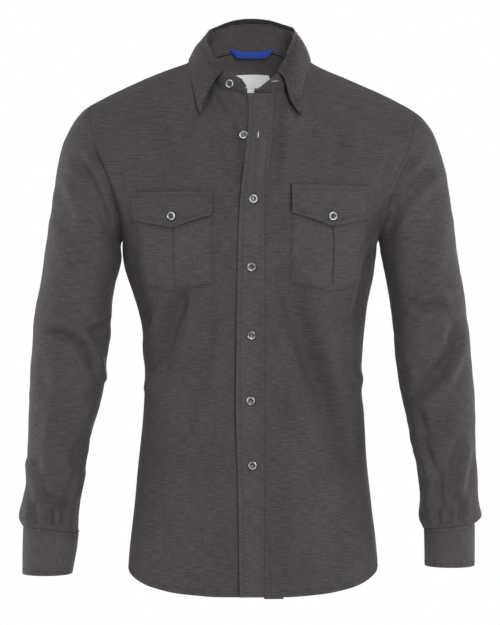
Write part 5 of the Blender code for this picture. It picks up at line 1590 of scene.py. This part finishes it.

# %% [markdown]
# Buttons are turned on a lathe: a profile with a raised rim and a shallow dish, spun round,
# with four holes sunk in and two bars of thread.

# %% One button, made once
BUTTON_RADIUS = 0.0056
BUTTON_THICKNESS = 0.0024
BUTTON_PROFILE = (
    (0.0, 0.55), (0.34, 0.55), (0.56, 0.60), (0.66, 0.80), (0.78, 1.0), (0.90, 0.94),
    (0.985, 0.70), (1.0, 0.45), (0.94, 0.16), (0.74, 0.0), (0.0, 0.0),
)
HOLE_OFFSET = 0.00125
HOLE_RADIUS = 0.00062


def model_button():
    """A button in its own frame: face towards +Z, back at the origin."""
    outline = bpy.data.meshes.new("button_model")
    corners = [(radius * BUTTON_RADIUS, 0.0, level * BUTTON_THICKNESS)
               for radius, level in BUTTON_PROFILE]
    outline.from_pydata(corners, [(index, index + 1) for index in range(len(corners) - 1)], [])
    model = bpy.data.objects.new("button_model", outline)
    scene.collection.objects.link(model)
    select_only(model)
    bpy.ops.object.mode_set(mode="EDIT")
    bpy.ops.mesh.select_all(action="SELECT")
    bpy.ops.mesh.spin(steps=36, angle=2.0 * math.pi, center=(0.0, 0.0, 0.0), axis=(0.0, 0.0, 1.0))
    bpy.ops.mesh.select_all(action="SELECT")
    bpy.ops.mesh.remove_doubles(threshold=0.00001)
    bpy.ops.mesh.normals_make_consistent(inside=False)
    bpy.ops.object.mode_set(mode="OBJECT")
    model.select_set(False)
    spots = read_points(model)
    # The rim value marks the rim, which the finish paints paler, with painted highlights.
    rim = model.data.attributes.new("rim", "FLOAT", "POINT")
    reach = np.linalg.norm(spots[:, :2], axis=1) / BUTTON_RADIUS
    level = ease(0.60, 0.80, reach) * ease(0.3, 0.7, spots[:, 2] / BUTTON_THICKNESS)
    rim.data.foreach_set("value", level.astype(np.float32))
    for across in (-1, 1):
        for along in (-1, 1):
            bpy.ops.mesh.primitive_cylinder_add(
                vertices=12, radius=HOLE_RADIUS, depth=BUTTON_THICKNESS * 3.0,
                location=(across * HOLE_OFFSET, along * HOLE_OFFSET, BUTTON_THICKNESS))
            drill = bpy.context.object
            bpy.ops.object.transform_apply(location=True)
            apply_modifier(model, "BOOLEAN", operation="DIFFERENCE", object=drill, solver="EXACT")
            bpy.data.objects.remove(drill)
    return model


button_model = model_button()
select_only(button_model)
bpy.ops.object.shade_smooth_by_angle(angle=math.radians(40.0))
button_model.select_set(False)
print("button faces", len(button_model.data.polygons))


def thread_cross():
    """Two bars of thread through the holes, in the button's own frame."""
    points = []
    faces = []
    level = BUTTON_THICKNESS * 0.60
    for start, end in (((-1, -1), (-1, 1)), ((1, -1), (1, 1))):
        first = np.array((start[0] * HOLE_OFFSET, start[1] * HOLE_OFFSET, level))
        last = np.array((end[0] * HOLE_OFFSET, end[1] * HOLE_OFFSET, level))
        ahead = (last - first) / np.linalg.norm(last - first)
        side = np.cross(ahead, (0.0, 0.0, 1.0))
        base = len(points)
        for share, lift in ((0.0, -0.0006), (0.12, 0.0001), (0.5, 0.00022), (0.88, 0.0001),
                            (1.0, -0.0006)):
            middle = first + (last - first) * share + np.array((0.0, 0.0, lift))
            for turn in range(6):
                angle = turn * math.pi / 3.0
                points.append(middle + side * math.cos(angle) * 0.00042
                              + np.array((0.0, 0.0, math.sin(angle) * 0.00028)))
        for ring in range(4):
            for turn in range(6):
                after = (turn + 1) % 6
                faces.append((base + ring * 6 + turn, base + ring * 6 + after,
                              base + (ring + 1) * 6 + after, base + (ring + 1) * 6 + turn))
        faces.append(tuple(base + turn for turn in range(6))[::-1])
        faces.append(tuple(base + 24 + turn for turn in range(6)))
    return points, faces


# %% Button finish, with painted highlights on the rim
def button_finish():
    finish, tree, shader = new_finish("button_horn")
    place = tree.nodes.new("ShaderNodeTexCoord")
    swirl = speckle(tree, place.outputs["Object"], 260.0, 3.0, 0.6)
    rim = stored_value(tree, "rim")
    body = blend_colours(tree, swirl, (0.020, 0.021, 0.023, 1.0), (0.075, 0.078, 0.082, 1.0))
    # Painted highlight: near-white patches on the rim stand in for the lamps' reflections; under
    # them the rim is paler than the dish, as on smoked pearl buttons.
    painted_glint = speckle(tree, place.outputs["Object"], 190.0, 1.0, 0.5)
    painted_glint = calc(tree, "MULTIPLY_ADD", calc(tree, "SUBTRACT", painted_glint, 0.5), 3.2, 0.5, clamp=True)
    edge = blend_colours(tree, painted_glint, (0.10, 0.105, 0.11, 1.0), (0.72, 0.74, 0.75, 1.0))
    tree.links.new(blend_colours(tree, rim, body, edge),
                   shader.inputs["Base Color"])
    rough = calc(tree, "MULTIPLY_ADD", swirl, 0.12, 0.10)
    tree.links.new(rough, shader.inputs["Roughness"])
    shader.inputs["Specular IOR Level"].default_value = 0.6
    shader.inputs["Coat Weight"].default_value = 0.25
    shader.inputs["Coat Roughness"].default_value = 0.06
    return finish


BUTTON_FINISH = button_finish()
BUTTON_THREAD = thread_finish("button_thread", (0.05, 0.05, 0.052, 1.0))


def place_button(node):
    """Sets a copy of the button where a packed button is, facing the same way."""
    packed = frame["nodes"][node]
    points = np.array([tuple(vertex.co) for vertex in packed.data.vertices])
    middle = (points.min(axis=0) + points.max(axis=0)) / 2.0
    centred = points - points.mean(axis=0)
    normal = np.linalg.eigh(centred.T @ centred)[1][:, 0]
    outward = np.array((middle[0] * 0.2, -1.0, 0.0))
    if node.startswith("button_cuff"):
        sleeve_points = read_points(cuffs[node.split("_")[-1]])
        outward = middle - (sleeve_points.min(axis=0) + sleeve_points.max(axis=0)) / 2.0
        outward[2] = 0.0
    if normal @ outward < 0.0:
        normal = -normal
    reach = centred @ normal
    back_spot = points.mean(axis=0) + normal * reach.min()
    side = np.cross((0.0, 0.0, 1.0), normal)
    side /= np.linalg.norm(side)
    up = np.cross(normal, side)
    tilt = math.radians((hash_turn(node) % 21) - 10)
    first = side * math.cos(tilt) + up * math.sin(tilt)
    second = np.cross(normal, first)
    frame_axes = np.stack((first, second, normal))
    mesh = button_model.data.copy()
    mesh.name = node
    piece = bpy.data.objects.new("horn_" + node, mesh)
    scene.collection.objects.link(piece)
    local = np.array([tuple(vertex.co) for vertex in mesh.vertices])
    mesh.vertices.foreach_set("co", (local @ frame_axes + back_spot).astype(np.float32).ravel())
    mesh.update()
    mesh.materials.clear()
    mesh.materials.append(BUTTON_FINISH)
    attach(piece, "root")
    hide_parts(node)
    bar_points, bar_faces = thread_cross()
    world = np.array(bar_points) @ frame_axes + back_spot
    return [tuple(point) for point in world], bar_faces


def hash_turn(word):
    return sum(ord(letter) * (index + 3) for index, letter in enumerate(word))


cross_points = []
cross_faces = []
for node in sorted(frame["nodes"]):
    if node.startswith("button"):
        points, faces = place_button(node)
        base = len(cross_points)
        cross_points.extend(points)
        cross_faces.extend(tuple(base + corner for corner in face) for face in faces)
bpy.data.objects.remove(button_model)
add_piece("button_threads", cross_points, cross_faces, BUTTON_THREAD)

# %% [markdown]
# The ribbon loop is a bright blue ribbed ribbon; the labels are white satin, left bare, given a
# little painted glow.

# %% Ribbon and label finishes
def ribbed(name, base, dark, pitch, axis, sheen):
    finish, tree, shader = new_finish(name)
    grain = tree.nodes.new("ShaderNodeUVMap")
    grain.uv_map = "grain"
    split = tree.nodes.new("ShaderNodeSeparateXYZ")
    tree.links.new(grain.outputs[0], split.inputs[0])
    ribs = calc(tree, "PINGPONG", calc(tree, "DIVIDE", split.outputs[axis], pitch), 0.5)
    worn = speckle(tree, stretched(tree, grain.outputs[0], (300.0, 300.0, 1.0)), 1.0, 2.0)
    share = calc(tree, "ADD", ribs, calc(tree, "MULTIPLY", worn, 0.5), clamp=True)
    tree.links.new(blend_colours(tree, share, dark, base), shader.inputs["Base Color"])
    add_bump(tree, shader, ribs, 0.0002)
    shader.inputs["Roughness"].default_value = 0.45
    shader.inputs["Sheen Weight"].default_value = sheen
    return finish


RIBBON = ribbed("blue_ribbon", (0.030, 0.095, 0.50, 1.0), (0.010, 0.026, 0.18, 1.0),
                0.0011, 0, 0.03)
LABEL = ribbed("white_satin_painted_glow", (0.97, 0.98, 1.0, 1.0), (0.90, 0.92, 0.95, 1.0),
               0.0006, 1, 0.1)
label_glow_shader = LABEL.node_tree.nodes["Principled BSDF"]
# Painted light: the white satin glows a little with its own light, so that the label and the size
# tab stay bright in the shade inside the neck.
label_glow_shader.inputs["Emission Color"].default_value = (0.93, 0.96, 1.0, 1.0)
label_glow_shader.inputs["Emission Strength"].default_value = 0.14
RIBBON.node_tree.nodes["Principled BSDF"].inputs["Specular IOR Level"].default_value = 0.12

# %% Thicken every sheet
finish_panel(front_right, "front_right", BODY_CLOTH, CLOTH, (0.262, 0.745), 0.163)
finish_panel(front_left, "front_left", BODY_CLOTH, CLOTH, (0.222, 0.742), 0.141)
finish_panel(back, "back", BODY_CLOTH, CLOTH, (0.450, 0.680), 0.274)
finish_panel(yoke, "yoke", BODY_CLOTH, CLOTH, (0.460, 0.150), 0.055,
             inner=INNER_CLOTH_PAINTED_LIGHT)
finish_panel(placket, "front_placket", PLACKET_CLOTH, STIFF, (0.036, 0.680), None)
CUFF_HEIGHTS = {"right": 0.066, "left": 0.055}
for word in ("right", "left"):
    finish_panel(sleeves[word], "sleeve_" + word, SLEEVE_CLOTH, CLOTH, (0.350, 0.590), 0.169)
    finish_panel(cuffs[word], "cuff_" + word, CUFF_CLOTH, STIFF, (0.264, CUFF_HEIGHTS[word]),
                 None)
    finish_panel(sleeve_plackets[word], "sleeve_placket_" + word, CUFF_CLOTH, CLOTH,
                 (0.016, 0.112), None)
    finish_panel(pockets[word], "pocket_" + word, POCKET_CLOTH, 0.0010, (0.107, 0.120), 0.0120)
    finish_panel(flaps[word], "pocket_flap_" + word, FLAP_CLOTH, STIFF, (0.109, 0.052), 0.0050)
finish_panel(stand, "collar_stand", STAND_CLOTH, STIFF, (0.440, 0.036), None)
finish_panel(leaf, "collar_leaf", COLLAR_CLOTH, STIFF, (0.430, 0.075), 0.0273)
finish_panel(loop, "hanging_loop", RIBBON, 0.0008, (0.063, 0.011), None)
finish_panel(label, "neck_label", LABEL, 0.0008, (0.050, 0.019), None)
finish_panel(tab, "size_tab", LABEL, 0.0008, (0.0105, 0.011), None)

# %% Sizes, then finish
total = sum(len(polygon.vertices) - 2 for thing in scene.objects
            if thing.type == "MESH" and not thing.hide_render for polygon in thing.data.polygons)
print("triangles shown", total)
